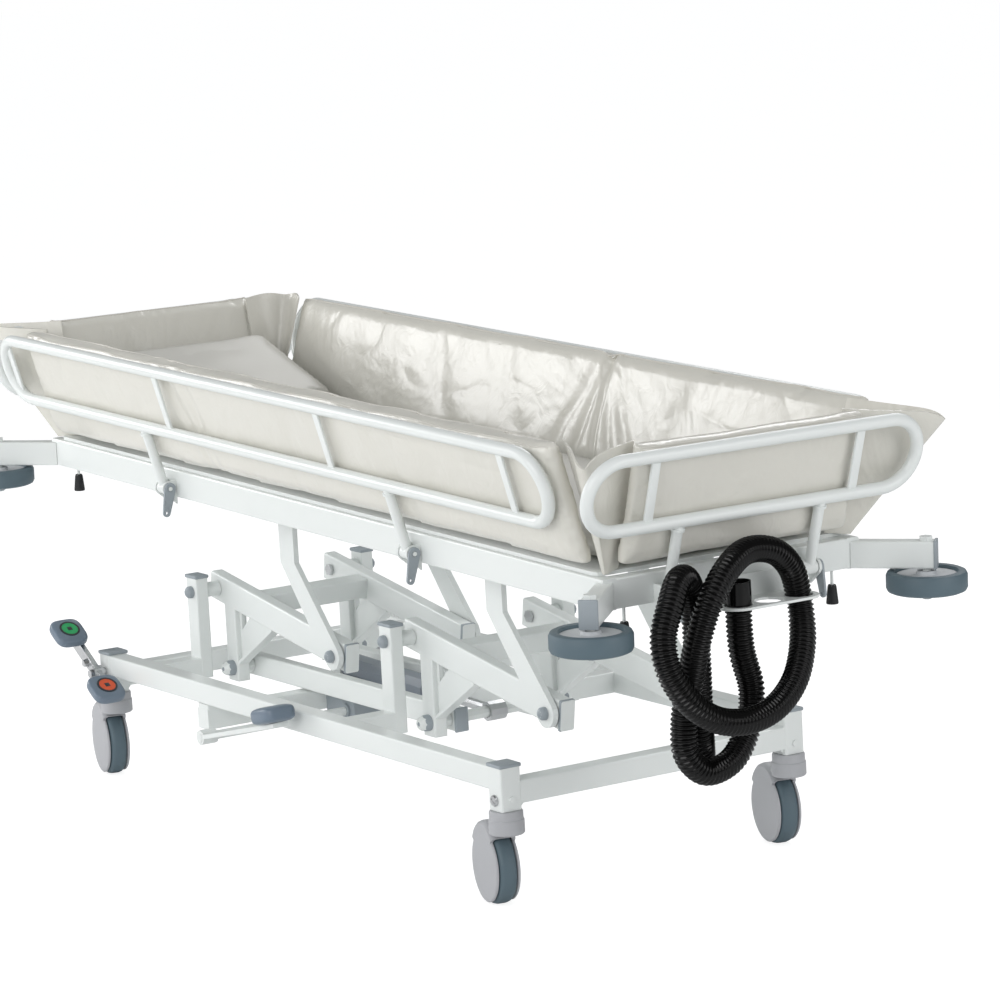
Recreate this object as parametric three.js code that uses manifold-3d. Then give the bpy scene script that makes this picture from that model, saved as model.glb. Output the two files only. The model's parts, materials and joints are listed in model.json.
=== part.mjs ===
// Shower trolley: a height-adjustable wet-room stretcher on four castors.
// Millimetres, +Z up, +X towards the foot (drain) end, -Y the near long side.
// The origin is on the floor under the middle of the base.
import * as THREE from 'three';
import { mergeVertices } from 'three/addons/utils/BufferGeometryUtils.js';
import Module from 'manifold-3d';

const wasm = await Module();
wasm.setup();

// Driving dimensions: base
const POST_X = 657;
const POST_Y = 280;
const POST_W = 38;
const POST_TOP = 237;
const POST_BOTTOM = 166;
const CAP_W = 39;
const CAP_T = 3.5;
const SIDE_RAIL_H = 38;
const SIDE_RAIL_TOP = 236;
const END_RAIL_TOP = 213;
const END_RAIL_INSET = 62;
const WELD_GUSSET = 8;
const EDGE_R = 3;
const BASE_TUBE_X = -294;
const BASE_TUBE_W = 37;
const BASE_TUBE_DROP = 8;

// Driving dimensions: lift linkage
const PIVOT_HEAD_X = -510;
const PIVOT_SPACING = 671;
const PIVOT_Z = 356;
const ARM_LENGTH = 425;
const ARM_REST_DEG = -9.1;
const ARM_H = 50;
const ARM_W = 25;
const ARM_OUT_Y = 133;
const ARM_TAIL = 26;
const LIFT_POST_X = 38;
const LIFT_POST_Y = 25;
const LIFT_POST_RISE = 26;
const SPACER_L = 30;
const SPACER_R = 13.5;
const LEG_W = 38;
const LEG_DX = 38;
const LEG_DROP = 143;
const LEG_TAIL = 24;
const TIE_H = 40;
const TIE_W = 25;
const TIE_BOSS = 14;
const PIN_R = 8;
// Hexagonal bore in the cranks, wide enough for the pin's corners as the cranks turn
const PIVOT_BORE_R = 8.6;
const SHAFT_R = 10;
const DOME_R = 10;
const CRANK_TUBE_AT = 110;
const CRANK_TUBE_H = 36;
const CRANK_TUBE_W = 38;
const GUSSET_T = 6;
const GUSSET_ARM_REACH = 190;
const GUSSET_LEG_REACH = 118;
const WINDOW_SIDE = 30;

// Driving dimensions: top frame, all before its built-in fall towards the foot end
const FALL_DEG = 1.42;
const FRAME_TOP = 586;
const FRAME_X = 913;
const FRAME_Y = 247;
const FRAME_H = 50;
const FRAME_W = 25;
const CROSS_W = 50;
const CROSS_H = 34;
const TIE_CROSS_H = 33;
const BRACKET_T = 10;
const BRACKET_W = 49;
const BRACKET_SET_BACK = 135;
const BRACKET_BEND_RISE = 152;
const BRACKET_GAP = 4;

// Driving dimensions: corner bumpers
const STUB_L = 62;
const STUB_H = 44;
const STUB_W = 28;
const BUMPER_OUT = 107;
const BUMPER_R = 65;
const BUMPER_T = 34;
const BUMPER_GAP = 4;
const BUMPER_HUB_R = 15;
const STOP_R = 8;
const STOP_H = 30;
const STOP_INSET = 46;

// Driving dimensions: guard rails
const RAIL_R = 10.6;
const RAIL_PIN_OUT = 15;
const RAIL_PIN_DROP = 32;
const RAIL_LEAN_DEG = 16.5;
const RAIL_LOW = 120;
const RAIL_HIGH = 238;
const LONG_RAIL_LENGTH = 1808;
const LONG_RAIL_SHIFT = -38;
const LONG_PIN_SPACING = 822;
const END_RAIL_LENGTH = 630;
const END_PIN_SPACING = 272;
const STRUT_W = 16;
const STRUT_T = 5;
const LONG_STRUT_SHARES = [-0.485, -0.172, 0.134, 0.44];
const END_STRUT_SHARES = [-0.31, 0.31];
const LEG_TUBE_R = 9;
const HINGE_PLATE_T = 5;
const LEVER_T = 4;

// Driving dimensions: lying surface
const PAN_T = 6;
const MATTRESS_H = 46;
const MATTRESS_CROWN = 8;
const PANEL_T = 34;
const PANEL_H = 212;
const PANEL_CROWN = 7;
const PANEL_LIFT = 8;
const PANEL_LEAN_DEG = 16.5;
const END_PANEL_HALF = 220;
const LONG_PANEL_HALF = 880;
const PILLOW_L = 270;
const PILLOW_H = 105;
const EAR_OUT = 38;
const EAR_INSET = 14;
const EAR_GAP_X = 13;
const SHEET_T = 4;

// Driving dimensions: castors
const WHEEL_R = 62.5;
const WHEEL_W = 30;
const TRAIL = 60;
const TRAIL_DEG = 167;
const COLLAR_R = 29;
const DISC_R = 53;
const DISC_T = 6;
const HOOD_T = 5;

// Driving dimensions: brake rocker and foot pump
const ROCKER_REACH = 100;
const ROCKER_DEG = 32.5;
const ROCKER_Z = 205;
const PAD_L = 66;
const PAD_W = 64;
const PAD_T = 24;
const PUMP_SHAFT_X = -205;
const PUMP_SHAFT_Z = 160;
const PUMP_PAD_X = 35;
const PUMP_PAD_Z = 232;
const PUMP_ARM_Y = -340;

// Driving dimensions: drain and its hose
const HOSE_R = 21.5;
const HOSE_ROOT_R = 18.5;
const HOSE_BORE_R = 15;
const HOSE_RIBS = 46;
const HOSE_SAMPLES = 500;
const HOLDER_X = 968;
const HOLDER_Z = 496;
const HOLDER_T = 4;
const HOLDER_HOLE_Y = [-33, 25.5, 84];
const HOLDER_RIM = 9;
const OUTLET_X = 850;
const OUTLET_Y = -30;
const OUTLET_Z = 505;

// Clearances
const SEAT = 0.3;
const RUN = 1;
const OVERRUN = 5;

// Ears on the base cross tube
const EAR_GAP = 16;
const EAR_T = 6;
const EAR_R = 17;
const ACTUATOR_TAIL_Z = 224;

// Post screws
const SCREW_R = 9;

// Ram
const BARREL_R = 25;
const BARREL_BORE_R = 20;
const BARREL_START = 26;
const BARREL_LENGTH = 262;
const RAM_ROD_R = 9;
const RAM_ROD_LENGTH = 330;
const EYE_R = 17;

// Pump and its pedal
const PUMP_L = 96;
const PUMP_W = 110;
const PUMP_H = 56;
const PUMP_ARM_W = 30;
const PUMP_ARM_T = 8;

// Brake rocker
const ROCKER_Y = -316;
const ROCKER_T = 10;
const ROCKER_H = 22;

// Corner stubs
const STUB_START = -12;

// Rail hinges and latch levers
const HINGE_PIN_R = 4;
const HINGE_R = 13;
const HINGE_FOOT = 30;
const LEVER_REACH = 44;
const LEVER_LEAN_DEG = 12;

// Pan, mattress and pillow
const PAN_HALF_Y = 240;
const MATTRESS_HALF_X = 884;
const MATTRESS_HALF_Y = 204;
const CHANNEL_DEPTH = 5;
const PILLOW_HALF_Y = 196;

// Panels and corner ears
const PANEL_GAP = 0.4;
const EAR_STEPS = 4;
// Share of the height where the ear starts, on the frame's top
const EAR_START = 0.12;

const deg = THREE.MathUtils.degToRad;

// Materials
function paint(color, roughness, metalness) {
  return () => new THREE.MeshStandardMaterial({ color, roughness, metalness });
}
const whitePaint = paint(0xe6ebe6, 0.35, 0.1);
const greyPlastic = paint(0x9aa1a8, 0.55, 0);
const palePlastic = paint(0xc4c4cc, 0.5, 0);
const bluePlastic = paint(0x6f7c8a, 0.4, 0);
const tyreGrey = paint(0x5b6a78, 0.6, 0);
const steel = paint(0xb9bcbe, 0.3, 0.9);
const blackRubber = paint(0x16181a, 0.7, 0);
const hosePlastic = paint(0x0e0f10, 0.35, 0);
const liner = paint(0xc6c0b6, 0.3, 0);
const signalGreen = paint(0x2f9e4f, 0.5, 0);
const signalRed = paint(0xe2542f, 0.5, 0);

// Solids
function solid(geometry) {
  const bare = geometry.index ? geometry.toNonIndexed() : geometry.clone();
  bare.deleteAttribute('normal');
  bare.deleteAttribute('uv');
  const welded = mergeVertices(bare, 1e-4);
  const mesh = new wasm.Mesh({
    numProp: 3,
    vertProperties: new Float32Array(welded.attributes.position.array),
    triVerts: new Uint32Array(welded.index.array),
  });
  return new wasm.Manifold(mesh);
}

function unite(list) {
  return list.map((item) => (item instanceof THREE.BufferGeometry ? solid(item) : item))
    .reduce((sum, item) => sum.add(item));
}

function cut(body, list) {
  return list.reduce((rest, item) => rest.subtract(solid(item)), body);
}

function geometryOf(manifold) {
  const mesh = manifold.getMesh();
  const geometry = new THREE.BufferGeometry();
  const xyz = new Float32Array(mesh.numVert * 3);
  for (let i = 0; i < mesh.numVert; i += 1) {
    for (let k = 0; k < 3; k += 1) xyz[3 * i + k] = mesh.vertProperties[mesh.numProp * i + k];
  }
  geometry.setAttribute('position', new THREE.BufferAttribute(xyz, 3));
  geometry.setIndex(new THREE.BufferAttribute(new Uint32Array(mesh.triVerts), 1));
  geometry.computeVertexNormals();
  return geometry;
}

const trolley = new THREE.Group();
const top = new THREE.Group();
top.rotation.y = deg(FALL_DEG);
// The fall is undone in X at the height of the bumper wheels, so that they stand evenly about the base.
const bumperDrop = FRAME_H + BUMPER_GAP + BUMPER_T / 2;
top.position.set((bumperDrop - FRAME_TOP) * Math.sin(deg(FALL_DEG)), 0,
  FRAME_TOP * (1 - Math.cos(deg(FALL_DEG))));
trolley.add(top);

function place(parent, name, shape, material) {
  const geometry = shape instanceof THREE.BufferGeometry ? shape : geometryOf(shape);
  const mesh = new THREE.Mesh(geometry, material());
  mesh.name = name;
  parent.add(mesh);
  return mesh;
}

// Shapes
function roundRect(width, height, radius) {
  const w = width / 2;
  const h = height / 2;
  const shape = new THREE.Shape();
  shape.moveTo(-w + radius, -h);
  shape.lineTo(w - radius, -h);
  shape.absarc(w - radius, -h + radius, radius, -Math.PI / 2, 0, false);
  shape.lineTo(w, h - radius);
  shape.absarc(w - radius, h - radius, radius, 0, Math.PI / 2, false);
  shape.lineTo(-w + radius, h);
  shape.absarc(-w + radius, h - radius, radius, Math.PI / 2, Math.PI, false);
  shape.lineTo(-w, -h + radius);
  shape.absarc(-w + radius, -h + radius, radius, Math.PI, 1.5 * Math.PI, false);
  return shape;
}

function extrude(shape, depth, curveSegments = 1) {
  return new THREE.ExtrudeGeometry(shape, { depth, bevelEnabled: false, curveSegments });
}

// A rounded box section from one point to another; "across" is the direction of its width.
function bar(from, to, width, height, across, radius = EDGE_R) {
  const a = new THREE.Vector3(...from);
  const b = new THREE.Vector3(...to);
  const z = b.clone().sub(a);
  const length = z.length();
  z.normalize();
  const x = new THREE.Vector3(...across);
  x.addScaledVector(z, -x.dot(z)).normalize();
  const y = z.clone().cross(x);
  const geometry = extrude(roundRect(width, height, radius), length);
  geometry.applyMatrix4(new THREE.Matrix4().makeBasis(x, y, z).setPosition(a));
  return geometry;
}

function rod(from, to, radius, sides = 8) {
  const a = new THREE.Vector3(...from);
  const b = new THREE.Vector3(...to);
  const axis = b.clone().sub(a);
  const geometry = new THREE.CylinderGeometry(radius, radius, axis.length(), sides);
  const turn = new THREE.Quaternion().setFromUnitVectors(new THREE.Vector3(0, 1, 0),
    axis.clone().normalize());
  geometry.applyQuaternion(turn);
  geometry.translate(...a.add(b).multiplyScalar(0.5).toArray());
  return geometry;
}

// A round piece: profile is a list of [radius, height] from the axis back to the axis.
function turned(profile, base, direction, sides = 8) {
  const points = profile.map(([r, h]) => new THREE.Vector2(r, h));
  const geometry = new THREE.LatheGeometry(points, sides);
  const turn = new THREE.Quaternion()
    .setFromUnitVectors(new THREE.Vector3(0, 1, 0), new THREE.Vector3(...direction).normalize());
  geometry.applyQuaternion(turn);
  geometry.translate(...base);
  return geometry;
}

function domeNut(base, direction, radius = DOME_R) {
  const profile = [[0, 0], [radius, 0], [0.65 * radius, 1.1 * radius], [0, 1.1 * radius]];
  return turned(profile, base, direction, 8);
}

function hexHead(base, direction, radius = DOME_R) {
  return turned([[0, 0], [radius, 0], [radius, 0.7 * radius], [0, 0.7 * radius]], base, direction, 6);
}

// A flat plate in the XZ plane, from y0 to y1.
function plateXZ(shape, y0, y1, curveSegments = 5) {
  const geometry = extrude(shape, Math.abs(y1 - y0), curveSegments);
  geometry.rotateX(Math.PI / 2);
  geometry.translate(0, Math.max(y0, y1), 0);
  return geometry;
}

function polygon(points) {
  return new THREE.Shape(points.map(([x, y]) => new THREE.Vector2(x, y)));
}

// Rings of points joined into one closed skin; closed joins the last ring to the first.
function skin(rings, closed) {
  const n = rings[0].length;
  const xyz = rings.flat().flatMap((p) => [p.x, p.y, p.z]);
  const index = [];
  const last = closed ? rings.length : rings.length - 1;
  for (let i = 0; i < last; i += 1) {
    const a = i * n;
    const b = ((i + 1) % rings.length) * n;
    for (let k = 0; k < n; k += 1) {
      const l = (k + 1) % n;
      index.push(a + k, a + l, b + l, a + k, b + l, b + k);
    }
  }
  if (!closed) {
    const end = (rings.length - 1) * n;
    for (let k = 1; k < n - 1; k += 1) {
      index.push(0, k + 1, k);
      index.push(end, end + k, end + k + 1);
    }
  }
  const geometry = new THREE.BufferGeometry();
  geometry.setAttribute('position', new THREE.Float32BufferAttribute(xyz, 3));
  geometry.setIndex(index);
  return geometry;
}

// Frames carried along a line of points without twisting.
function carriedFrames(points, closed, start) {
  const count = points.length;
  const frames = [];
  let side = start.clone();
  for (let i = 0; i < count; i += 1) {
    const before = points[closed ? (i + count - 1) % count : Math.max(i - 1, 0)];
    const after = points[closed ? (i + 1) % count : Math.min(i + 1, count - 1)];
    const along = after.clone().sub(before).normalize();
    side = side.clone().addScaledVector(along, -side.dot(along)).normalize();
    frames.push({ centre: points[i], side, up: along.clone().cross(side) });
  }
  return frames;
}

function ringAt(frame, radius, sides) {
  const ring = [];
  for (let k = 0; k < sides; k += 1) {
    const angle = (2 * Math.PI * k) / sides;
    ring.push(frame.centre.clone()
      .addScaledVector(frame.side, radius * Math.cos(angle))
      .addScaledVector(frame.up, radius * Math.sin(angle)));
  }
  return ring;
}

// Worked out from the driving dimensions
const armAngle = deg(ARM_REST_DEG);
const pivotHead = [PIVOT_HEAD_X, PIVOT_Z];
const pivotFoot = [PIVOT_HEAD_X + PIVOT_SPACING, PIVOT_Z];
const armIn = ARM_OUT_Y - ARM_W;
const postIn = ARM_OUT_Y + SPACER_L;
const postOut = postIn + LIFT_POST_Y;
const tieOut = armIn - TIE_BOSS;
const tieIn = tieOut - TIE_W;
const bracketIn = ARM_OUT_Y + BRACKET_GAP;
const bracketOut = bracketIn + BRACKET_T;
const sideRailOut = POST_Y + POST_W / 2;
const sideRailIn = sideRailOut - POST_W;
const sideRailBottom = SIDE_RAIL_TOP - SIDE_RAIL_H;
const baseTubeTop = sideRailBottom - BASE_TUBE_DROP;
const legPin = ([x, z]) => [x + LEG_DX, z - LEG_DROP];
const armPin = ([x, z]) => [x + ARM_LENGTH * Math.cos(armAngle), z + ARM_LENGTH * Math.sin(armAngle)];
const sides = [-1, 1];

// Height of a level of the tilted top frame, at a place along the trolley.
function fallen(level, x) {
  const fall = deg(FALL_DEG);
  return FRAME_TOP + (level - FRAME_TOP) / Math.cos(fall) - x * Math.tan(fall);
}

// Base: corner posts, side rails, lower end rails with weld gussets, lift posts on stub tubes
function baseFrame() {
  const pieces = [];
  for (const s of sides) {
    pieces.push(bar([-POST_X, s * POST_Y, SIDE_RAIL_TOP - SIDE_RAIL_H / 2],
      [POST_X, s * POST_Y, SIDE_RAIL_TOP - SIDE_RAIL_H / 2], SIDE_RAIL_H, POST_W - 2 * RUN, [0, 0, 1]));
    for (const e of sides) {
      pieces.push(bar([e * POST_X, s * POST_Y, POST_BOTTOM], [e * POST_X, s * POST_Y, POST_TOP],
        POST_W, POST_W, [1, 0, 0]));
      const inner = POST_Y - POST_W / 2 + RUN;
      const gusset = polygon([[inner + OVERRUN, END_RAIL_TOP - SIDE_RAIL_H - WELD_GUSSET],
        [inner, END_RAIL_TOP - SIDE_RAIL_H - WELD_GUSSET], [inner - WELD_GUSSET, END_RAIL_TOP - SIDE_RAIL_H],
        [inner - WELD_GUSSET, END_RAIL_TOP - EDGE_R], [inner + OVERRUN, END_RAIL_TOP - EDGE_R]]);
      const web = extrude(gusset, POST_W - 4 * EDGE_R);
      web.applyMatrix4(new THREE.Matrix4().makeBasis(new THREE.Vector3(0, s, 0), new THREE.Vector3(0, 0, 1),
        new THREE.Vector3(s, 0, 0)));
      web.translate(e * POST_X - s * (POST_W / 2 - 2 * EDGE_R), 0, 0);
      pieces.push(web);
    }
    for (const [x] of [pivotHead, pivotFoot]) {
      pieces.push(bar([x, s * (sideRailIn + OVERRUN), SIDE_RAIL_TOP - SIDE_RAIL_H / 2],
        [x, s * (postIn + EDGE_R), SIDE_RAIL_TOP - SIDE_RAIL_H / 2], SIDE_RAIL_H - RUN, LIFT_POST_X - RUN,
        [0, 0, 1]));
      pieces.push(bar([x, s * (postIn + LIFT_POST_Y / 2), sideRailBottom],
        [x, s * (postIn + LIFT_POST_Y / 2), PIVOT_Z + LIFT_POST_RISE], LIFT_POST_X, LIFT_POST_Y, [1, 0, 0]));
    }
  }
  for (const e of sides) {
    pieces.push(bar([e * POST_X, -POST_Y, END_RAIL_TOP - SIDE_RAIL_H / 2],
      [e * POST_X, POST_Y, END_RAIL_TOP - SIDE_RAIL_H / 2], SIDE_RAIL_H, POST_W - 2 * RUN, [0, 0, 1]));
  }
  const frame = unite([...pieces, ...postCaps(), ...postScrews()]);
  return cut(frame, [pivotHead, pivotFoot].flatMap(([x, z]) => sides.map((s) => (
    rod([x, s * (postIn - OVERRUN), z], [x, s * (postOut + OVERRUN), z], PIN_R, 6)))));
}

function baseCrossTube() {
  const seat = sideRailBottom - SEAT;
  const z = baseTubeTop - BASE_TUBE_W / 2;
  const tube = bar([BASE_TUBE_X, -sideRailOut + RUN, z], [BASE_TUBE_X, sideRailOut - RUN, z],
    BASE_TUBE_W, BASE_TUBE_W, [1, 0, 0]);
  const saddles = sides.map((s) => bar([BASE_TUBE_X, s * POST_Y, z], [BASE_TUBE_X, s * POST_Y, seat],
    BASE_TUBE_W, POST_W - 4 * RUN, [1, 0, 0]));
  const ears = sides.map((s) => plateXZ(earShape(), s * EAR_GAP, s * (EAR_GAP + EAR_T)));
  return cut(unite([tube, ...saddles, ...ears]), [rod([BASE_TUBE_X, -EAR_GAP - 2 * EAR_T, ACTUATOR_TAIL_Z],
    [BASE_TUBE_X, EAR_GAP + 2 * EAR_T, ACTUATOR_TAIL_Z], PIN_R)]);
}

function earShape() {
  const shape = new THREE.Shape();
  shape.moveTo(BASE_TUBE_X - EAR_R, baseTubeTop - EDGE_R);
  shape.lineTo(BASE_TUBE_X + EAR_R, baseTubeTop - EDGE_R);
  shape.lineTo(BASE_TUBE_X + EAR_R, ACTUATOR_TAIL_Z);
  shape.absarc(BASE_TUBE_X, ACTUATOR_TAIL_Z, EAR_R, 0, Math.PI, false);
  return shape;
}

// Press-in caps on the corner posts and the lift posts
function postCaps() {
  const caps = [];
  for (const s of sides) {
    for (const e of sides) {
      caps.push(bar([e * POST_X, s * POST_Y, POST_TOP - RUN], [e * POST_X, s * POST_Y, POST_TOP + CAP_T],
        CAP_W, CAP_W, [1, 0, 0]));
    }
    for (const [x] of [pivotHead, pivotFoot]) {
      const z = PIVOT_Z + LIFT_POST_RISE;
      const y = s * (postIn + LIFT_POST_Y / 2);
      caps.push(bar([x, y, z - RUN], [x, y, z + CAP_T], LIFT_POST_X + RUN, LIFT_POST_Y + RUN, [1, 0, 0]));
    }
  }
  return caps;
}

function postScrews() {
  return sides.flatMap((s) => sides.flatMap((e) => [
    turned([[0, 0], [SCREW_R, 0], [SCREW_R, 0.2 * SCREW_R], [0.7 * SCREW_R, 0.5 * SCREW_R],
      [0, 0.5 * SCREW_R]],
      [e * POST_X, s * (sideRailOut - RUN / 2), (POST_TOP + POST_BOTTOM) / 2 - 2 * SCREW_R], [0, s, 0], 8),
    turned([[0, 0], [0.6 * SCREW_R, 0], [0.6 * SCREW_R, 0.4 * SCREW_R], [0, 0.4 * SCREW_R]],
      [e * (POST_X + POST_W / 2 - RUN / 2), s * POST_Y, POST_BOTTOM + 2 * SCREW_R], [e, 0, 0], 8),
  ]));
}

// Pivot pin through a lift post and a crank arm: dome nut outside, spacer between, head inside
function pivotPin([x, z], s) {
  return unite([
    rod([x, s * (postIn - SEAT), z], [x, s * (ARM_OUT_Y + RUN), z], SPACER_R),
    rod([x, s * (postOut + RUN), z], [x, s * (armIn - 2 * RUN), z], PIN_R - RUN, 6),
    hexHead([x, s * (armIn - RUN), z], [0, -s, 0]),
    domeNut([x, s * (postOut + SEAT), z], [0, s, 0]),
  ]);
}

// Bell crank: two arms, two hanging legs, their gusset plates, one tube across, pins at both ends
function crank(pivot, withShaft) {
  const [px, pz] = pivot;
  const [ax, az] = armPin(pivot);
  const [lx, lz] = legPin(pivot);
  const c = Math.cos(armAngle);
  const n = Math.sin(armAngle);
  const along = (d, up) => [px + d * c - up * n, pz + d * n + up * c];
  const pieces = [];
  for (const s of sides) {
    const y = s * (ARM_OUT_Y - ARM_W / 2);
    const [tx, tz] = along(-ARM_TAIL, 0);
    const [ex, ez] = along(ARM_LENGTH + ARM_TAIL - 2 * RUN, 0);
    pieces.push(bar([tx, y, tz], [ex, y, ez], ARM_H, ARM_W, [0, 0, 1]));
    pieces.push(bar([lx, y, pz], [lx, y, lz - LEG_TAIL], LEG_W, ARM_W, [1, 0, 0]));
    pieces.push(gussetPlate(along, [lx, lz], s));
    const flangeTop = along(GUSSET_ARM_REACH, -ARM_H / 2);
    pieces.push(bar([flangeTop[0], y, flangeTop[1]], [lx, y, lz + LEG_DROP - ARM_H / 2 - GUSSET_LEG_REACH],
      ARM_W - EDGE_R, GUSSET_T, [0, 1, 0], 1));
    pieces.push(rod([ax, s * (ARM_OUT_Y - EDGE_R), az], [ax, s * (bracketOut + RUN), az], PIN_R - RUN, 6));
    pieces.push(domeNut([ax, s * (bracketOut + RUN / 2), az], [0, s, 0]));
    pieces.push(rod([lx, s * (armIn + EDGE_R), lz], [lx, s * (tieOut + SEAT), lz], SPACER_R));
    pieces.push(rod([lx, s * (armIn + EDGE_R), lz], [lx, s * (tieIn - RUN), lz], SHAFT_R));
  }
  const [mx, mz] = along(CRANK_TUBE_AT, 0);
  pieces.push(bar([mx, -armIn - EDGE_R, mz], [mx, armIn + EDGE_R, mz], CRANK_TUBE_H, CRANK_TUBE_W,
    [-n, 0, c]));
  if (withShaft) pieces.push(rod([lx, -armIn, lz], [lx, armIn, lz], SHAFT_R));
  pieces.push(...crankCaps(pivot));
  return cut(unite(pieces), [rod([px, -ARM_OUT_Y - OVERRUN, pz], [px, ARM_OUT_Y + OVERRUN, pz], PIVOT_BORE_R, 6)]);
}

function gussetPlate(along, [lx, lz], s) {
  const legTop = lz + LEG_DROP - ARM_H / 2;
  const shape = polygon([[lx, legTop - GUSSET_LEG_REACH], along(GUSSET_ARM_REACH, -ARM_H / 2 + RUN),
    along(2 * LEG_DX, 0), [lx, legTop + ARM_H / 4]]);
  const window = new THREE.Path();
  const wx = lx + LEG_W / 2 + WINDOW_SIDE / 4;
  const wz = legTop - WINDOW_SIDE / 3;
  window.moveTo(wx, wz);
  window.lineTo(wx + WINDOW_SIDE, wz - WINDOW_SIDE / 3);
  window.lineTo(wx, wz - 1.2 * WINDOW_SIDE);
  shape.holes.push(window);
  const y = s * (ARM_OUT_Y - ARM_W / 2);
  return plateXZ(shape, y - GUSSET_T / 2, y + GUSSET_T / 2);
}

function crankCaps(pivot) {
  const [lx, lz] = legPin(pivot);
  const c = Math.cos(armAngle);
  const n = Math.sin(armAngle);
  const pieces = [];
  for (const s of sides) {
    const y = s * (ARM_OUT_Y - ARM_W / 2);
    const end = ARM_LENGTH + ARM_TAIL - 3 * RUN;
    const from = [pivot[0] + end * c, y, pivot[1] + end * n];
    const to = [pivot[0] + (end + RUN + CAP_T) * c, y, pivot[1] + (end + RUN + CAP_T) * n];
    pieces.push(bar(from, to, ARM_H + RUN, ARM_W + RUN, [0, 0, 1]));
    pieces.push(turned([[0, 0], [1.3 * DOME_R, 0], [1.3 * DOME_R, 1.5 * DOME_R], [0.9 * DOME_R, 2.1 * DOME_R],
      [0, 2.2 * DOME_R]], [lx, s * (ARM_OUT_Y - RUN), lz], [0, s, 0], 8));
  }
  return pieces;
}

// Tie bar between the two cranks' legs on one side
function tieBar(s) {
  const [hx, hz] = legPin(pivotHead);
  const [fx, fz] = legPin(pivotFoot);
  const y = s * (tieOut - TIE_W / 2);
  const tube = bar([hx - TIE_H / 2 - RUN, y, hz], [fx + TIE_H / 2 + RUN, y, fz], TIE_H, TIE_W - RUN,
    [0, 0, 1]);
  return cut(unite([tube]), [hx,
    fx].map((x) => rod([x, s * tieIn / 2, hz], [x, s * armIn, hz], SHAFT_R + RUN)));
}

// Hydraulic ram under the lift: barrel hinged on the base tube, rod on the foot crank's shaft
function ramAxis() {
  const [ex, ez] = legPin(pivotFoot);
  const axis = new THREE.Vector3(ex - BASE_TUBE_X, 0, ez - ACTUATOR_TAIL_Z).normalize();
  return { axis, tail: new THREE.Vector3(BASE_TUBE_X, 0, ACTUATOR_TAIL_Z),
    eye: new THREE.Vector3(ex, 0, ez) };
}

function ramBarrel() {
  const { axis, tail } = ramAxis();
  const at = (d) => tail.clone().addScaledVector(axis, d).toArray();
  const end = BARREL_START + BARREL_LENGTH;
  const body = unite([
    rod(at(BARREL_START), at(end), BARREL_R, 10),
    rod(at(end - 5 * RUN), at(end + 8 * RUN), BARREL_R + 3 * RUN, 10),
    bar(at(EYE_R / 2), at(BARREL_START + OVERRUN), 2 * EYE_R, 2 * (EAR_GAP - RUN), [0, 0, 1], RUN),
    rod([tail.x, -EAR_GAP + RUN, tail.z], [tail.x, EAR_GAP - RUN, tail.z], EYE_R, 10),
    rod([tail.x, -EAR_GAP - EAR_T - OVERRUN, tail.z], [tail.x, EAR_GAP + EAR_T + OVERRUN, tail.z],
      PIN_R - RUN, 6),
  ]);
  return cut(body, [rod(at(BARREL_START + 2 * EDGE_R), at(end + 2 * DOME_R), BARREL_BORE_R, 10)]);
}

function ramRod() {
  const { axis, eye } = ramAxis();
  const at = (d) => eye.clone().addScaledVector(axis, -d).toArray();
  const body = unite([
    rod(at(EYE_R / 2), at(RAM_ROD_LENGTH), RAM_ROD_R, 10),
    rod([eye.x, -EAR_GAP, eye.z], [eye.x, EAR_GAP, eye.z], EYE_R, 10),
  ]);
  return cut(body, [rod([eye.x, -EAR_GAP - OVERRUN, eye.z], [eye.x, EAR_GAP + OVERRUN, eye.z],
    SHAFT_R + RUN)]);
}

// Foot pump: its block on the base tube, the pedal arm on a shaft, the pad
function pumpBlock() {
  const x0 = BASE_TUBE_X + BASE_TUBE_W / 2 + SEAT;
  const zTop = sideRailBottom - 2 * RUN;
  const body = bar([x0, 0, zTop - PUMP_H / 2], [x0 + PUMP_L, 0, zTop - PUMP_H / 2], PUMP_W, PUMP_H,
    [0, 1, 0], 2 * EDGE_R);
  const boss = rod([PUMP_SHAFT_X, 0, PUMP_SHAFT_Z], [PUMP_SHAFT_X, -PUMP_W / 2 - OVERRUN, PUMP_SHAFT_Z],
    SPACER_R);
  const sump = turned([[0, 0], [0.3 * PUMP_H, 0], [0.42 * PUMP_H, OVERRUN], [0.42 * PUMP_H, PUMP_W / 2],
    [0, PUMP_W / 2]],
    [x0 + PUMP_L / 2, 0, zTop - PUMP_H - 0.22 * PUMP_H], [0, 0, 1]);
  return unite([body, boss, sump]);
}

function pumpPedal() {
  const shaft = rod([PUMP_SHAFT_X, -PUMP_W / 2 - OVERRUN - SEAT, PUMP_SHAFT_Z],
    [PUMP_SHAFT_X, PUMP_ARM_Y - PUMP_ARM_W / 2 - RUN, PUMP_SHAFT_Z], PIN_R);
  const hub = rod([PUMP_SHAFT_X, PUMP_ARM_Y + PUMP_ARM_W / 2, PUMP_SHAFT_Z],
    [PUMP_SHAFT_X, PUMP_ARM_Y - PUMP_ARM_W / 2, PUMP_SHAFT_Z], SPACER_R);
  const arm = bar([PUMP_SHAFT_X, PUMP_ARM_Y, PUMP_SHAFT_Z],
    [PUMP_PAD_X + PAD_L / 3, PUMP_ARM_Y, PUMP_PAD_Z - PAD_T / 2 - PUMP_ARM_T / 2 + pumpPadRise(PAD_L / 3)],
    PUMP_ARM_W, PUMP_ARM_T, [0, 1, 0], RUN);
  return unite([shaft, hub, arm]);
}

function pumpSlope() {
  return Math.atan2(PUMP_PAD_Z - PAD_T / 2 - PUMP_ARM_T / 2 - PUMP_SHAFT_Z, PUMP_PAD_X - PUMP_SHAFT_X);
}

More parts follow.
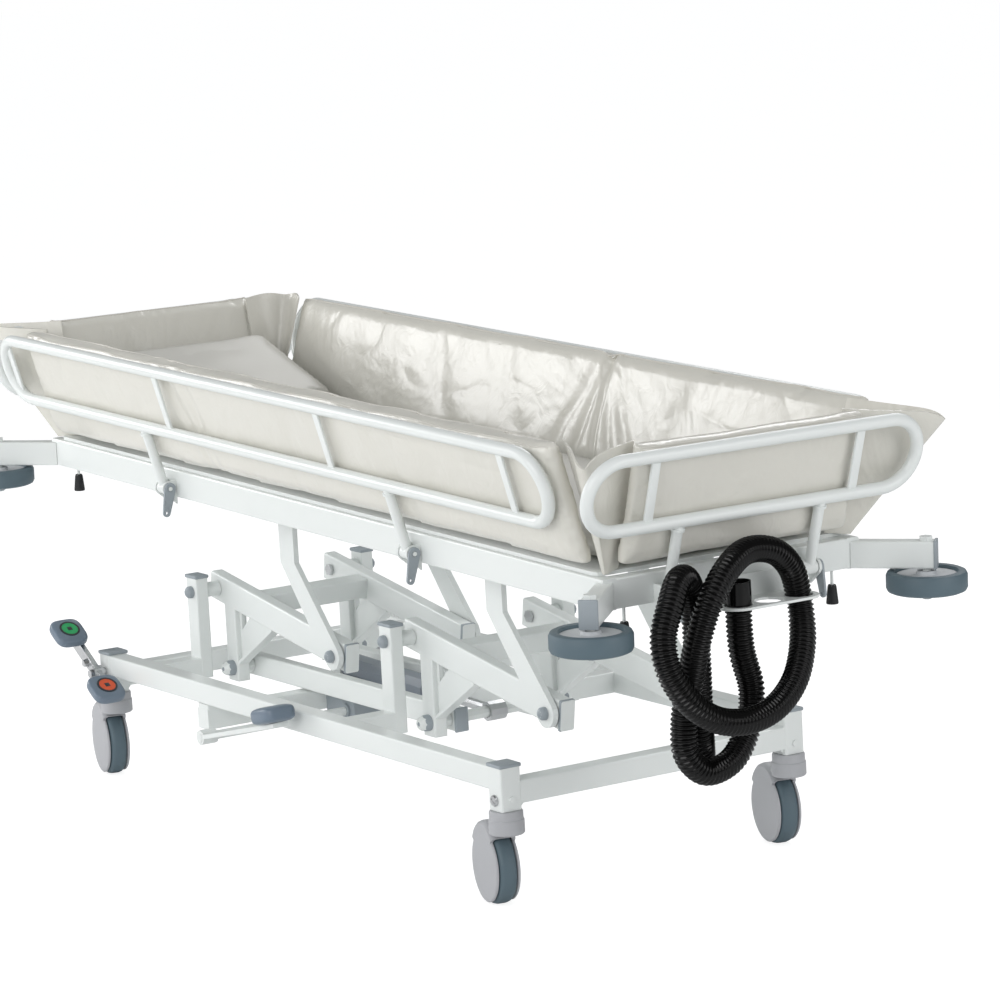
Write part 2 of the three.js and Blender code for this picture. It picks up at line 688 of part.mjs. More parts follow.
function pumpPadRise(dx) {
  return dx * Math.tan(pumpSlope());
}

// A soft-edged foot pad, built flat on z = 0 and then turned and moved.
function footPad(length, width, thickness, tiltY, at) {
  const shape = roundRect(length, width, 0.42 * width);
  const bevel = 0.22 * thickness;
  const inner = new THREE.ExtrudeGeometry(shape, {
    depth: thickness - 2 * bevel, bevelEnabled: true, bevelThickness: bevel, bevelSize: bevel,
    bevelOffset: -bevel, bevelSegments: 1, curveSegments: 2,
  });
  inner.translate(0, 0, bevel);
  inner.rotateY(tiltY);
  inner.translate(...at);
  return inner;
}

function pumpPad() {
  const slope = pumpSlope();
  const lift = (PUMP_ARM_T / 2 + SEAT) / Math.cos(slope);
  const z = PUMP_PAD_Z - PAD_T / 2 - PUMP_ARM_T / 2 + lift;
  return footPad(1.15 * PAD_L, PAD_W, 1.3 * PAD_T, -slope, [PUMP_PAD_X, PUMP_ARM_Y, z]);
}

// Brake and steer rocker on the near post at the head end
function rockerPoint(d, up) {
  const a = deg(ROCKER_DEG);
  return [-POST_X + d * Math.cos(a) + up * Math.sin(a), ROCKER_Z - d * Math.sin(a) + up * Math.cos(a)];
}

function brakeRocker() {
  const [gx, gz] = rockerPoint(-ROCKER_REACH, 0);
  const [rx, rz] = rockerPoint(0.72 * ROCKER_REACH, 0);
  const arm = bar([gx, ROCKER_Y, gz], [rx, ROCKER_Y, rz], ROCKER_T, ROCKER_H, [0, 1, 0], RUN);
  const hub = rod([-POST_X, ROCKER_Y + 0.9 * ROCKER_T, ROCKER_Z], [-POST_X, ROCKER_Y - ROCKER_T, ROCKER_Z],
    0.62 * ROCKER_H);
  const stud = rod([-POST_X, -sideRailOut - SEAT, ROCKER_Z], [-POST_X, ROCKER_Y, ROCKER_Z], PIN_R);
  const [kx, kz] = rockerPoint(-0.3 * ROCKER_REACH, 0);
  const knob = domeNut([kx, ROCKER_Y - ROCKER_T / 2 + RUN, kz], [0, -1, 0], 0.9 * DOME_R);
  return unite([arm, hub, stud, knob,
    hexHead([-POST_X, ROCKER_Y - ROCKER_T + RUN / 2, ROCKER_Z], [0, -1, 0], 0.8 * DOME_R)]);
}

function brakePad(d) {
  const [x, z] = rockerPoint(d, ROCKER_H / 2 + SEAT);
  return footPad(PAD_L, PAD_W, PAD_T, deg(ROCKER_DEG), [x, ROCKER_Y - 0.3 * PAD_W, z]);
}

// Castor: collar, hood with two cover discs, wheel; local +X is the trailing side
function castorHood() {
  const bottom = 2 * WHEEL_R + RUN;
  const half = WHEEL_W / 2 + RUN;
  const collar = rod([0, 0, bottom], [0, 0, POST_BOTTOM - SEAT], COLLAR_R, 10);
  const crownZ = 2 * WHEEL_R + RUN * 3;
  const crown = bar([-COLLAR_R * 0.6, 0, crownZ + 4 * HOOD_T / 2], [TRAIL * 0.9, 0, crownZ + HOOD_T],
    2 * (half + HOOD_T),
    2 * HOOD_T, [0, 1, 0], EDGE_R);
  const pieces = [collar, crown];
  for (const s of sides) {
    const cheek = new THREE.Shape();
    cheek.moveTo(-COLLAR_R * 0.7, crownZ);
    cheek.lineTo(-COLLAR_R * 0.55, crownZ + 2 * HOOD_T);
    cheek.lineTo(TRAIL * 0.95, crownZ + HOOD_T);
    cheek.lineTo(TRAIL + DISC_R * 0.75, WHEEL_R + DISC_R * 0.6);
    cheek.lineTo(TRAIL + DISC_R * 0.3, WHEEL_R - DISC_R * 0.2);
    cheek.lineTo(TRAIL - DISC_R * 0.5, WHEEL_R);
    pieces.push(plateXZ(cheek, s * half, s * (half + HOOD_T)));
    pieces.push(rod([TRAIL, s * half, WHEEL_R], [TRAIL, s * (half + DISC_T), WHEEL_R], DISC_R, 12));
  }
  const shape = unite(pieces);
  const tunnel = rod([TRAIL, -half, WHEEL_R], [TRAIL, half, WHEEL_R], WHEEL_R + 3 * RUN, 16);
  const axle = rod([TRAIL, -half - RUN, WHEEL_R], [TRAIL, half + RUN, WHEEL_R], PIN_R - RUN, 6);
  return unite([cut(shape, [tunnel]), axle]);
}

function castorWheel() {
  const count = 14;
  const r = WHEEL_R / Math.cos(Math.PI / count);
  const w = WHEEL_W / 2;
  const profile = [[PIN_R, -w], [0.9 * r, -w], [r, -w + 6 * RUN], [r, w - 6 * RUN], [0.9 * r, w], [PIN_R, w],
    [PIN_R, -w]];
  const geometry = new THREE.LatheGeometry(profile.map(([a, h]) => new THREE.Vector2(a, h)), count);
  geometry.rotateY(Math.PI / count);
  geometry.translate(TRAIL, 0, WHEEL_R);
  return solid(geometry);
}

// Top frame: long rails, end rails, cross members, in the tilted group
const crossAt = [pivotHead, pivotFoot].map((pivot) => armPin(pivot)[0] - BRACKET_SET_BACK);

function topFrame() {
  const z = FRAME_TOP - FRAME_H / 2;
  const pieces = [];
  for (const s of sides) {
    pieces.push(bar([-FRAME_X, s * (FRAME_Y - FRAME_W / 2), z], [FRAME_X, s * (FRAME_Y - FRAME_W / 2), z],
      FRAME_H, FRAME_W, [0, 0, 1]));
    pieces.push(bar([s * (FRAME_X - FRAME_W / 2), -FRAME_Y + EDGE_R, z],
      [s * (FRAME_X - FRAME_W / 2), FRAME_Y - EDGE_R, z],
      FRAME_H - RUN, FRAME_W, [0, 0, 1]));
  }
  for (const x of crossAt) {
    pieces.push(bar([x, -FRAME_Y + FRAME_W / 2, FRAME_TOP - FRAME_H + CROSS_H / 2],
      [x, FRAME_Y - FRAME_W / 2, FRAME_TOP - FRAME_H + CROSS_H / 2], CROSS_W, CROSS_H, [1, 0, 0]));
  }
  return unite([...pieces, ...bumperStubs(), ...bumperBolts(), ...cornerStops(), ...railBrackets()]);
}

// Hanging plates from the top frame down to the arm pins, with a tube between each pair
function hangingBracket(pivot) {
  const pieces = [];
  const [ax, az] = armPin(pivot);
  const left = ax - BRACKET_SET_BACK - BRACKET_W / 2;
  const right = left + BRACKET_W;
  const bend = az + BRACKET_BEND_RISE;
  const roof = (x) => fallen(FRAME_TOP - FRAME_H, x) - SEAT - RUN / 2;
  const r = BRACKET_W / 2;
  const slope = Math.atan2(BRACKET_BEND_RISE, -(BRACKET_SET_BACK - r));
  const shape = new THREE.Shape();
  shape.moveTo(left, roof(left));
  shape.lineTo(left, bend - EDGE_R);
  shape.absarc(ax, az, r, slope + Math.PI / 2, slope + 1.5 * Math.PI, false);
  shape.lineTo(right, bend);
  shape.lineTo(right, roof(right));
  const hole = new THREE.Path();
  hole.absarc(ax, az, PIN_R, 0, 2 * Math.PI, true);
  shape.holes.push(hole);
  sides.forEach((s) => pieces.push(plateXZ(shape, s * bracketIn, s * bracketOut, 6)));
  const z = Math.min(roof(left), roof(right)) - TIE_CROSS_H / 2;
  pieces.push(bar([left + BRACKET_W / 2, -bracketIn - RUN, z], [left + BRACKET_W / 2, bracketIn + RUN, z],
    BRACKET_W - RUN, TIE_CROSS_H, [1, 0, 0]));
  return unite(pieces);
}

// Corner bumpers: a stub at 45 degrees, a bolt and a flat wheel under it
function corners() {
  return sides.flatMap((e) => sides.map((s) => ({ e, s, d: new THREE.Vector3(e, s, 0).normalize() })));
}

const stubZ = FRAME_TOP - FRAME_H + STUB_H / 2;
const wheelTop = FRAME_TOP - FRAME_H - BUMPER_GAP;

function bumperStubs() {
  return corners().map(({ e, s, d }) => {
    const from = new THREE.Vector3(e * FRAME_X, s * FRAME_Y, stubZ).addScaledVector(d, STUB_START);
    const to = new THREE.Vector3(e * FRAME_X, s * FRAME_Y, stubZ).addScaledVector(d, BUMPER_OUT + STUB_W / 2);
    return bar(from.toArray(), to.toArray(), STUB_H, STUB_W, [0, 0, 1]);
  });
}

function bumperCentre({ e, s, d }, z) {
  return new THREE.Vector3(e * FRAME_X, s * FRAME_Y, z).addScaledVector(d, BUMPER_OUT).toArray();
}

function bumperWheel(corner) {
  const w = BUMPER_T;
  const r = BUMPER_R;
  const h = BUMPER_HUB_R;
  const profile = [[PIN_R, 0.2 * w], [0.75 * r, 0.2 * w], [0.8 * r, 0], [r, 0.1 * w], [r, 0.9 * w],
    [0.8 * r, w], [0.75 * r, 0.8 * w], [h, 0.8 * w], [h, w], [PIN_R, w], [PIN_R, 0.2 * w]];
  const geometry = new THREE.LatheGeometry(profile.map(([a, b]) => new THREE.Vector2(a, b)), 12);
  geometry.rotateX(Math.PI / 2);
  geometry.translate(...bumperCentre(corner, wheelTop - BUMPER_T));
  return solid(geometry);
}

function bumperBolts() {
  return corners().flatMap((corner) => {
    const low = bumperCentre(corner, wheelTop - BUMPER_T - SEAT);
    const under = bumperCentre(corner, stubZ);
    const over = bumperCentre(corner, stubZ + STUB_H / 2 - RUN);
    return [rod(under, [low[0], low[1], low[2] - RUN], PIN_R - RUN, 6),
      domeNut(low, [0, 0, -1], 1.1 * DOME_R),
      hexHead(over, [0, 0, 1], 1.1 * DOME_R)];
  });
}

// Black tapered stops on thin rods, just inside the corners
function cornerStops() {
  return corners().flatMap(({ e, s }) => {
    const x = e * (FRAME_X - FRAME_W / 2);
    const y = s * (FRAME_Y - STOP_INSET);
    const z = FRAME_TOP - FRAME_H;
    return [rod([x, y, z + RUN], [x, y, z - STOP_H], 0.35 * STOP_R, 6),
      turned([[0, 0], [STOP_R * 1.15, 0], [STOP_R * 0.8, STOP_H], [0, STOP_H]], [x, y, z - 1.8 * STOP_H],
        [0, 0, 1], 8)];
  });
}

// Guard rails. A rail is drawn in a local frame: u along its hinge, v away from the hinge, then
// leaned outwards and set on its side of the frame.
function railSide(name) {
  const pinZ = FRAME_TOP - RAIL_PIN_DROP;
  if (name === 'near') return { origin: [LONG_RAIL_SHIFT, -FRAME_Y - RAIL_PIN_OUT, pinZ], turn: 0 };
  if (name === 'far') return { origin: [LONG_RAIL_SHIFT, FRAME_Y + RAIL_PIN_OUT, pinZ], turn: Math.PI };
  if (name === 'foot') return { origin: [FRAME_X + RAIL_PIN_OUT, 0, pinZ], turn: Math.PI / 2 };
  return { origin: [-FRAME_X - RAIL_PIN_OUT, 0, pinZ], turn: -Math.PI / 2 };
}

function setOnSide(item, name, lean = 0) {
  const { origin, turn } = railSide(name);
  const matrix = new THREE.Matrix4().makeRotationZ(turn).setPosition(...origin)
    .multiply(new THREE.Matrix4().makeRotationX(lean));
  item.applyMatrix4(matrix);
  return item;
}

function guardRail(name) {
  const long = name === 'near' || name === 'far';
  const length = long ? LONG_RAIL_LENGTH : END_RAIL_LENGTH;
  const pinSpacing = long ? LONG_PIN_SPACING : END_PIN_SPACING;
  const shares = long ? LONG_STRUT_SHARES : END_STRUT_SHARES;
  const mirror = name === 'far' ? -1 : 1;
  const bend = (RAIL_HIGH - RAIL_LOW) / 2;
  const mid = (RAIL_HIGH + RAIL_LOW) / 2;
  const half = length / 2 - bend;
  const points = [];
  const steps = 6;
  for (const e of sides) {
    for (let i = 0; i <= steps; i += 1) {
      const angle = Math.PI * (i / steps - 0.5);
      points.push(new THREE.Vector3(e * (half + bend * Math.cos(angle)), 0,
        mid + e * bend * Math.sin(angle)));
    }
  }
  const loop = skin(carriedFrames(points, true,
    new THREE.Vector3(0, 1, 0)).map((f) => ringAt(f, RAIL_R, 6)), true);
  const pieces = [loop];
  for (const share of shares) {
    const u = share * length * mirror;
    pieces.push(bar([u, 0, RAIL_LOW], [u, 0, RAIL_HIGH], STRUT_W, STRUT_T, [1, 0, 0], RUN));
  }
  for (const e of sides) {
    const u = (e * pinSpacing) / 2;
    pieces.push(rod([u, 0, RAIL_LOW], [u, 0, 0], LEG_TUBE_R, 8));
    pieces.push(rod([u - LEG_TUBE_R - RUN, 0, 0], [u + LEG_TUBE_R + RUN, 0, 0], LEG_TUBE_R + 2 * RUN, 8));
  }
  const body = cut(unite(pieces), sides.map((e) => rod([(e * pinSpacing) / 2 - 3 * DOME_R, 0, 0],
    [(e * pinSpacing) / 2 + 3 * DOME_R, 0, 0], HINGE_PIN_R + RUN, 6)));
  return setOnSide(geometryOf(body), name, deg(RAIL_LEAN_DEG));
}

// One hinge bracket on the frame: two ears, a pin through them, a back plate on the rail.
function railBracket(u) {
  const inner = LEG_TUBE_R + 2 * RUN + SEAT;
  const pieces = [];
  for (const e of sides) {
    const u0 = u + e * inner;
    const ear = new THREE.Shape();
    ear.moveTo(RAIL_PIN_OUT + RUN, HINGE_R);
    ear.lineTo(0, HINGE_R);
    ear.absarc(0, 0, HINGE_R, 0.5 * Math.PI, 1.25 * Math.PI, false);
    ear.lineTo(RAIL_PIN_OUT + RUN, -HINGE_FOOT);
    const plate = extrude(ear, HINGE_PLATE_T, 2);
    plate.applyMatrix4(new THREE.Matrix4().makeBasis(new THREE.Vector3(0, 1, 0), new THREE.Vector3(0, 0, 1),
      new THREE.Vector3(1, 0, 0)));
    plate.translate(e > 0 ? u0 : u0 - HINGE_PLATE_T, 0, 0);
    pieces.push(plate);
  }
  pieces.push(rod([u - inner - HINGE_PLATE_T - RUN, 0, 0],
    [u + inner + HINGE_PLATE_T + LEVER_T + 2 * RUN, 0, 0],
    HINGE_PIN_R, 6));
  return unite(pieces);
}

function railBrackets() {
  const pieces = [];
  for (const name of ['near', 'far', 'foot', 'head']) {
    const spacing = name === 'near' || name === 'far' ? LONG_PIN_SPACING : END_PIN_SPACING;
    for (const e of sides) {
      pieces.push(setOnSide(geometryOf(railBracket((e * spacing) / 2)), name));
    }
  }
  return pieces;
}

// Latch lever beside a hinge bracket: a flat keyhole-shaped finger tab that hangs from the hinge pin.
function latchLever(name, e) {
  const spacing = name === 'near' || name === 'far' ? LONG_PIN_SPACING : END_PIN_SPACING;
  const u = (e * spacing) / 2 + LEG_TUBE_R + 2 * RUN + SEAT + HINGE_PLATE_T + RUN;
  const shape = new THREE.Shape();
  const tip = 0.55 * HINGE_R;
  shape.moveTo(-tip, -LEVER_REACH);
  shape.absarc(0, -LEVER_REACH, tip, Math.PI, 2 * Math.PI, false);
  shape.lineTo(0.85 * HINGE_R, 0);
  shape.absarc(0, 0, 0.85 * HINGE_R, 0, Math.PI, false);
  const pinHole = new THREE.Path();
  pinHole.absarc(0, 0, HINGE_PIN_R + RUN, 0, 2 * Math.PI, true);
  const tipHole = new THREE.Path();
  tipHole.absarc(0, -LEVER_REACH, 0.4 * tip, 0, 2 * Math.PI, true);
  shape.holes.push(pinHole, tipHole);
  const lever = extrude(shape, LEVER_T, 3);
  lever.applyMatrix4(new THREE.Matrix4().makeBasis(new THREE.Vector3(0, 1, 0), new THREE.Vector3(0, 0, 1),
    new THREE.Vector3(1, 0, 0)));
  lever.translate(u, 0, 0);
  return setOnSide(lever, name, deg(-LEVER_LEAN_DEG));
}

// Pan and mattress on the frame
function pan() {
  return bar([0, 0, FRAME_TOP + SEAT], [0, 0, FRAME_TOP + SEAT + PAN_T], 2 * (FRAME_X - FRAME_W),
    2 * PAN_HALF_Y,
    [1, 0, 0], 4 * EDGE_R);
}

// A padded slab: crowned faces, sides drawn in, channels across it. Length along u, width along v.
function padded({ halfU, halfV, thickness, crown, pull, channels, stepsU, stepsV, warp }) {
  const ring = [];
  for (let j = 0; j < stepsV; j += 1) ring.push([-1 + (2 * j) / stepsV, 1]);
  for (let j = 0; j < 2; j += 1) ring.push([1, 1 - j]);
  for (let j = 0; j < stepsV; j += 1) ring.push([1 - (2 * j) / stepsV, -1]);
  for (let j = 0; j < 2; j += 1) ring.push([-1, -1 + j]);
  const rings = [];
  for (let i = 0; i <= stepsU; i += 1) {
    const u = -1 + (2 * i) / stepsU;
    const endFade = Math.sqrt(Math.max(0, 1 - Math.abs(u) ** 14));
    const groove = channels.reduce((sum,
      c) => sum + Math.exp(-(((u - c) * halfU) ** 2) / (2 * (1.4 * thickness) ** 2 / 9)), 0);
    rings.push(ring.map(([v, w]) => {
      const bulge = (1 - v * v) * (1 - u * u) ** 0.25;
      const half = thickness / 2 * (0.72 + 0.28 * endFade) + (crown * bulge - CHANNEL_DEPTH * groove) / 2;
      const drawIn = 1 - (pull / halfV) * (1 - Math.abs(w)) * -1 - (pull / halfV);
      const edge = Math.abs(v) === 1 && Math.abs(w) === 1 ? 0.82 : 1;
      return warp(u * halfU, v * halfV * drawIn, w * half * edge);
    }).reverse());
  }
  return skin(rings, false);
}

function mattress() {
  const base = FRAME_TOP + 2 * SEAT + PAN_T;
  return solid(padded({
    halfU: MATTRESS_HALF_X, halfV: MATTRESS_HALF_Y, thickness: MATTRESS_H, crown: MATTRESS_CROWN, pull: 4,
    channels: [0], stepsU: 10, stepsV: 4,
    warp: (x, y, z) => new THREE.Vector3(x, y, z < 0 ? base : base + MATTRESS_H / 2 + z),
  }));
}

// Wedge pillow at the head end of the mattress
function pillow() {
  const x0 = -MATTRESS_HALF_X + 6 * EDGE_R;
  const z0 = FRAME_TOP + 3 * SEAT + PAN_T + MATTRESS_H + MATTRESS_CROWN / 2;
  const rings = [];
  const steps = 6;
  for (let i = 0; i <= steps; i += 1) {
    const v = -1 + (2 * i) / steps;
    const soft = 1 - 0.06 * Math.abs(v) ** 8;
    const half = PILLOW_HALF_Y * v;
    const outline = [[0, 0], [0.5, 0], [1, 0], [1, 0.1], [0.85, 0.34], [0.6, 0.63], [0.35, 0.86],
      [0.16, 0.99],
      [0.03, 1], [-0.01, 0.8], [-0.01, 0.3]];
    rings.push(outline.map(([a, b]) => (
      new THREE.Vector3(x0 + a * PILLOW_L * soft, half, z0 + b * PILLOW_H * soft))).reverse());
  }
  return solid(skin(rings, false));
}

// Padded side panels of the liner, leaning out just inside the guard rails
function panelWarp(name) {
  const { origin, turn } = railSide(name);
  const lean = deg(PANEL_LEAN_DEG);
  const foot = RAIL_PIN_DROP + PANEL_LIFT;
  const inset = RAIL_R + PANEL_GAP + PANEL_T / 2 + PANEL_CROWN / 2;
  const matrix = new THREE.Matrix4().makeRotationZ(turn).setPosition(...origin)
    .multiply(new THREE.Matrix4().makeRotationX(lean));
  return (u, v, w) => new THREE.Vector3(u, inset - w, foot + PANEL_H / 2 + v).applyMatrix4(matrix);
}

function panel(name) {
  const long = name === 'near' || name === 'far';
  const shift = long ? -LONG_RAIL_SHIFT : 0;
  const warp = panelWarp(name);
  const mirror = name === 'far' ? -1 : 1;
  return solid(padded({
    halfU: long ? LONG_PANEL_HALF : END_PANEL_HALF, halfV: PANEL_H / 2, thickness: PANEL_T,
      crown: PANEL_CROWN, pull: 3,
    channels: long ? [0] : [], stepsU: long ? 10 : 6, stepsV: 4,
    warp: (u, v, w) => warp(u + shift * mirror, v, w),
  }));
}

// Unpadded corner ears of the liner that fold out between two panels
function cornerEar(e, s) {
  const lean = Math.tan(deg(PANEL_LEAN_DEG));
  const rise = PANEL_H - 8 * RUN;
  const lowZ = FRAME_TOP + (SEAT - EAR_START * rise) / (1 - EAR_START);
  const low = new THREE.Vector3(e * (FRAME_X - EAR_INSET), s * (FRAME_Y - EAR_INSET), lowZ);
  const longEnd = new THREE.Vector3(e * (LONG_PANEL_HALF + EAR_GAP_X), s * (FRAME_Y + lean * rise),
    FRAME_TOP + rise);
  const shortEnd = new THREE.Vector3(e * (FRAME_X + lean * rise), s * (END_PANEL_HALF + EAR_GAP_X),
    FRAME_TOP + rise);
  const tip = new THREE.Vector3(e * (FRAME_X + EAR_OUT), s * (FRAME_Y + EAR_OUT), FRAME_TOP + rise);
  const bow = longEnd.clone().add(shortEnd).multiplyScalar(0.5);
  const curve = new THREE.QuadraticBezierCurve3(longEnd, tip.clone().multiplyScalar(2).sub(bow), shortEnd);
  const out = new THREE.Vector3(e, s, 0).normalize().multiplyScalar(SHEET_T);
  const rings = [];
  for (let i = 0; i <= EAR_STEPS; i += 1) {
    const rim = curve.getPoint(i / EAR_STEPS);
    const ring = [];
    for (let k = 0; k <= 3; k += 1) ring.push(low.clone().lerp(rim, EAR_START + (1 - EAR_START) * (k / 3)));
    for (let k = 3; k >= 0; k -= 1) ring.push(low.clone().lerp(rim,
      EAR_START + (1 - EAR_START) * (k / 3)).add(out));
    rings.push(e * s > 0 ? ring.reverse() : ring);
  }
  return solid(skin(rings, false));
}

// Drain outlet, the ribbed hose from it, and the plate that holds the hose
function drainSpout() {
  const flangeTop = fallen(FRAME_TOP + SEAT, OUTLET_X + 1.6 * HOSE_R) - RUN / 2;
  return solid(turned([[0, 0], [HOSE_R, 0], [HOSE_R, HOSE_R], [1.1 * HOSE_R, 1.2 * HOSE_R],
    [1.1 * HOSE_R, flangeTop - OUTLET_Z - HOSE_R / 3], [1.5 * HOSE_R, flangeTop - OUTLET_Z - HOSE_R / 3],
    [1.5 * HOSE_R, flangeTop - OUTLET_Z], [0, flangeTop - OUTLET_Z]], [OUTLET_X, OUTLET_Y, OUTLET_Z + SEAT],
      [0, 0, 1], 16));
}

const HOSE_POINTS = [
  [850, -30, 505], [850, -30, 462], [850, -30, 400], [854, -33, 335], [872, -46, 284], [908, -72, 260],
  [942, -97, 285], [965, -113, 338], [974, -119, 402], [976, -121, 462], [977, -122, 505], [980, -129, 539],
  [991, -147, 561], [1009, -173, 561], [1027, -200, 535], [1042, -228, 484], [1052, -226, 436],
    [1058, -196, 386],
  [1058, -150, 352], [1052, -90, 338], [1038, -22, 347], [1018, 33, 379], [994, 68, 425], [975, 83, 466],
  [968, 84, 498], [972, 70, 542], [986, 28, 578], [1000, -32, 590], [1028, -92, 574], [1041, -136, 532],
  [1032, -158, 469], [1012, -161, 405], [1001, -168, 344], [1000, -166, 292], [994, -128, 256],
    [984, -68, 264],
  [975, -28, 312], [971, -17, 366], [968, -30, 430], [968, -33, 538],
];

function hoseCurve() {
  return new THREE.CatmullRomCurve3(HOSE_POINTS.map((p) => new THREE.Vector3(...p)), false, 'centripetal');
}

// Least gap between the hose and itself, its own neighbourhood left out
function hoseSelfGap() {
  const curve = hoseCurve();
  const points = curve.getSpacedPoints(HOSE_SAMPLES);
  const skip = Math.ceil((5 * HOSE_R * HOSE_SAMPLES) / curve.getLength());
  let least = Infinity;
  for (let i = 0; i < points.length; i += 1) {
    for (let j = i + skip; j < points.length; j += 1) {
      least = Math.min(least, points[i].distanceTo(points[j]) - 2 * HOSE_R);
    }
  }
  return least;
}

function drainHose() {
  const curve = hoseCurve();
  const length = curve.getLength();
  const flat = (2 * HOSE_R) / length;
  const places = [0, flat];
  const radii = [HOSE_R, HOSE_R];
  const span = 1 - 2 * flat;
  for (let i = 0; i < HOSE_RIBS; i += 1) {
    places.push(flat + span * ((i + 0.25) / HOSE_RIBS), flat + span * ((i + 0.75) / HOSE_RIBS));
    radii.push(HOSE_ROOT_R, HOSE_R);
  }
  places.push(1 - flat, 1);
  radii.push(HOSE_R, HOSE_R);
  curve.arcLengthDivisions = 2000;
  const points = places.map((p) => curve.getPointAt(p));
  const frames = carriedFrames(points, false, new THREE.Vector3(1, 0, 0));
  const outer = frames.map((f, i) => ringAt(f, radii[i], 8));
  const inner = frames.map((f) => ringAt(f, HOSE_BORE_R, 8));
  return skin([...outer, ...inner.reverse()], true);
}

function hosePlate() {
  const reach = HOSE_R + 2 * RUN;
  const y0 = HOLDER_HOLE_Y[0];
  const y1 = HOLDER_HOLE_Y[HOLDER_HOLE_Y.length - 1];
  const wide = reach + HOLDER_RIM;
  const back = FRAME_X + 2 * RUN;
  const shape = new THREE.Shape();
  shape.moveTo(back, y0 - wide);
  shape.lineTo(HOLDER_X, y0 - wide);
  shape.absarc(HOLDER_X, y0, wide, -Math.PI / 2, 0, false);
  shape.lineTo(HOLDER_X + wide, y1);
  shape.absarc(HOLDER_X, y1, wide, 0, Math.PI / 2, false);
  shape.lineTo(back, y1 + wide);
  for (const y of HOLDER_HOLE_Y) {
    const hole = new THREE.Path();
    hole.absarc(HOLDER_X, y, reach, 0, 2 * Math.PI, true);
    shape.holes.push(hole);
  }
  const plate = extrude(shape, HOLDER_T, 5);
  plate.translate(0, 0, HOLDER_Z);
  const lipHeight = FRAME_TOP - FRAME_H - HOLDER_Z;
  const lip = bar([back + HOLDER_T / 2, y0 - wide, HOLDER_Z + lipHeight / 2],
    [back + HOLDER_T / 2, y1 + wide, HOLDER_Z + lipHeight / 2], HOLDER_T, lipHeight, [1, 0, 0], RUN / 2);
  return unite([plate, lip]);
}

// Assembly: base
const sideName = (s) => (s < 0 ? 'near' : 'far');
const endName = (e) => (e < 0 ? 'head' : 'foot');
place(trolley, 'base_frame', baseFrame(), whitePaint);
place(trolley, 'base_cross_tube', baseCrossTube(), whitePaint);
place(trolley, 'hydraulic_pump', pumpBlock(), greyPlastic);

// Assembly: lift
place(trolley, 'crank_head', crank(pivotHead, false), whitePaint);
place(trolley, 'crank_foot', crank(pivotFoot, true), whitePaint);
for (const s of sides) {
  place(trolley, `pivot_pin_head_${sideName(s)}`, pivotPin(pivotHead, s), steel);
  place(trolley, `pivot_pin_foot_${sideName(s)}`, pivotPin(pivotFoot, s), steel);
  place(trolley, `tie_bar_${sideName(s)}`, tieBar(s), whitePaint);
}
place(trolley, 'ram_barrel', ramBarrel(), bluePlastic);
place(trolley, 'ram_rod', ramRod(), steel);

// Assembly: pedals
place(trolley, 'pump_pedal', pumpPedal(), whitePaint);
place(trolley, 'pump_pad', pumpPad(), bluePlastic);
place(trolley, 'brake_rocker', brakeRocker(), steel);
place(trolley, 'brake_pad_green', brakePad(-0.92 * ROCKER_REACH), signalGreen);
place(trolley, 'brake_pad_red', brakePad(0.68 * ROCKER_REACH), signalRed);

// Assembly: castors, all trailing the same way
for (const e of sides) {
  for (const s of sides) {
    const castor = new THREE.Group();
    castor.position.set(e * POST_X, s * POST_Y, 0);
    castor.rotation.z = deg(TRAIL_DEG);
    trolley.add(castor);
    place(castor, `castor_hood_${endName(e)}_${sideName(s)}`, castorHood(), palePlastic);
    place(castor, `castor_wheel_${endName(e)}_${sideName(s)}`, castorWheel(), tyreGrey);
  }
}

// Assembly: top frame and what it carries
place(top, 'top_frame', topFrame(), whitePaint);
place(trolley, 'hanging_bracket_head', hangingBracket(pivotHead), whitePaint);
place(trolley, 'hanging_bracket_foot', hangingBracket(pivotFoot), whitePaint);
for (const corner of corners()) {
  const tag = `${endName(corner.e)}_${sideName(corner.s)}`;
  place(top, `bumper_wheel_${tag}`, bumperWheel(corner), tyreGrey);
  place(top, `liner_ear_${tag}`, cornerEar(corner.e, corner.s), liner);
}
for (const name of ['near', 'far', 'foot', 'head']) {
  place(top, `guard_rail_${name}`, guardRail(name), whitePaint);
  place(top, `panel_${name}`, panel(name), liner);
  for (const e of sides) place(top, `latch_${name}_${e > 0 ? 'b' : 'a'}`, latchLever(name, e), greyPlastic);
}
place(top, 'pan', pan(), whitePaint);
place(top, 'mattress', mattress(), liner);
place(top, 'pillow', pillow(), liner);

// Assembly: drain
place(trolley, 'drain_spout', drainSpout(), whitePaint);
place(trolley, 'drain_hose', drainHose(), hosePlastic);
place(trolley, 'hose_holder', hosePlate(), whitePaint);

export default trolley;
console.log('hose gap to itself in mm', hoseSelfGap().toFixed(2));
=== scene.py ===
# %% [markdown]
# # Shower trolley
# The CAD frame comes in first: one mesh for each part, and the body that each one moves with. Every
# step then swaps a plain CAD part for a finer piece on the same body, or adds small trim to it. The
# order is camera, tools, materials, hose, rails, liner, wheels, pedals, caps and light.

# %%
import json
import math
import bpy
import bmesh
from mathutils import Matrix, Vector, noise

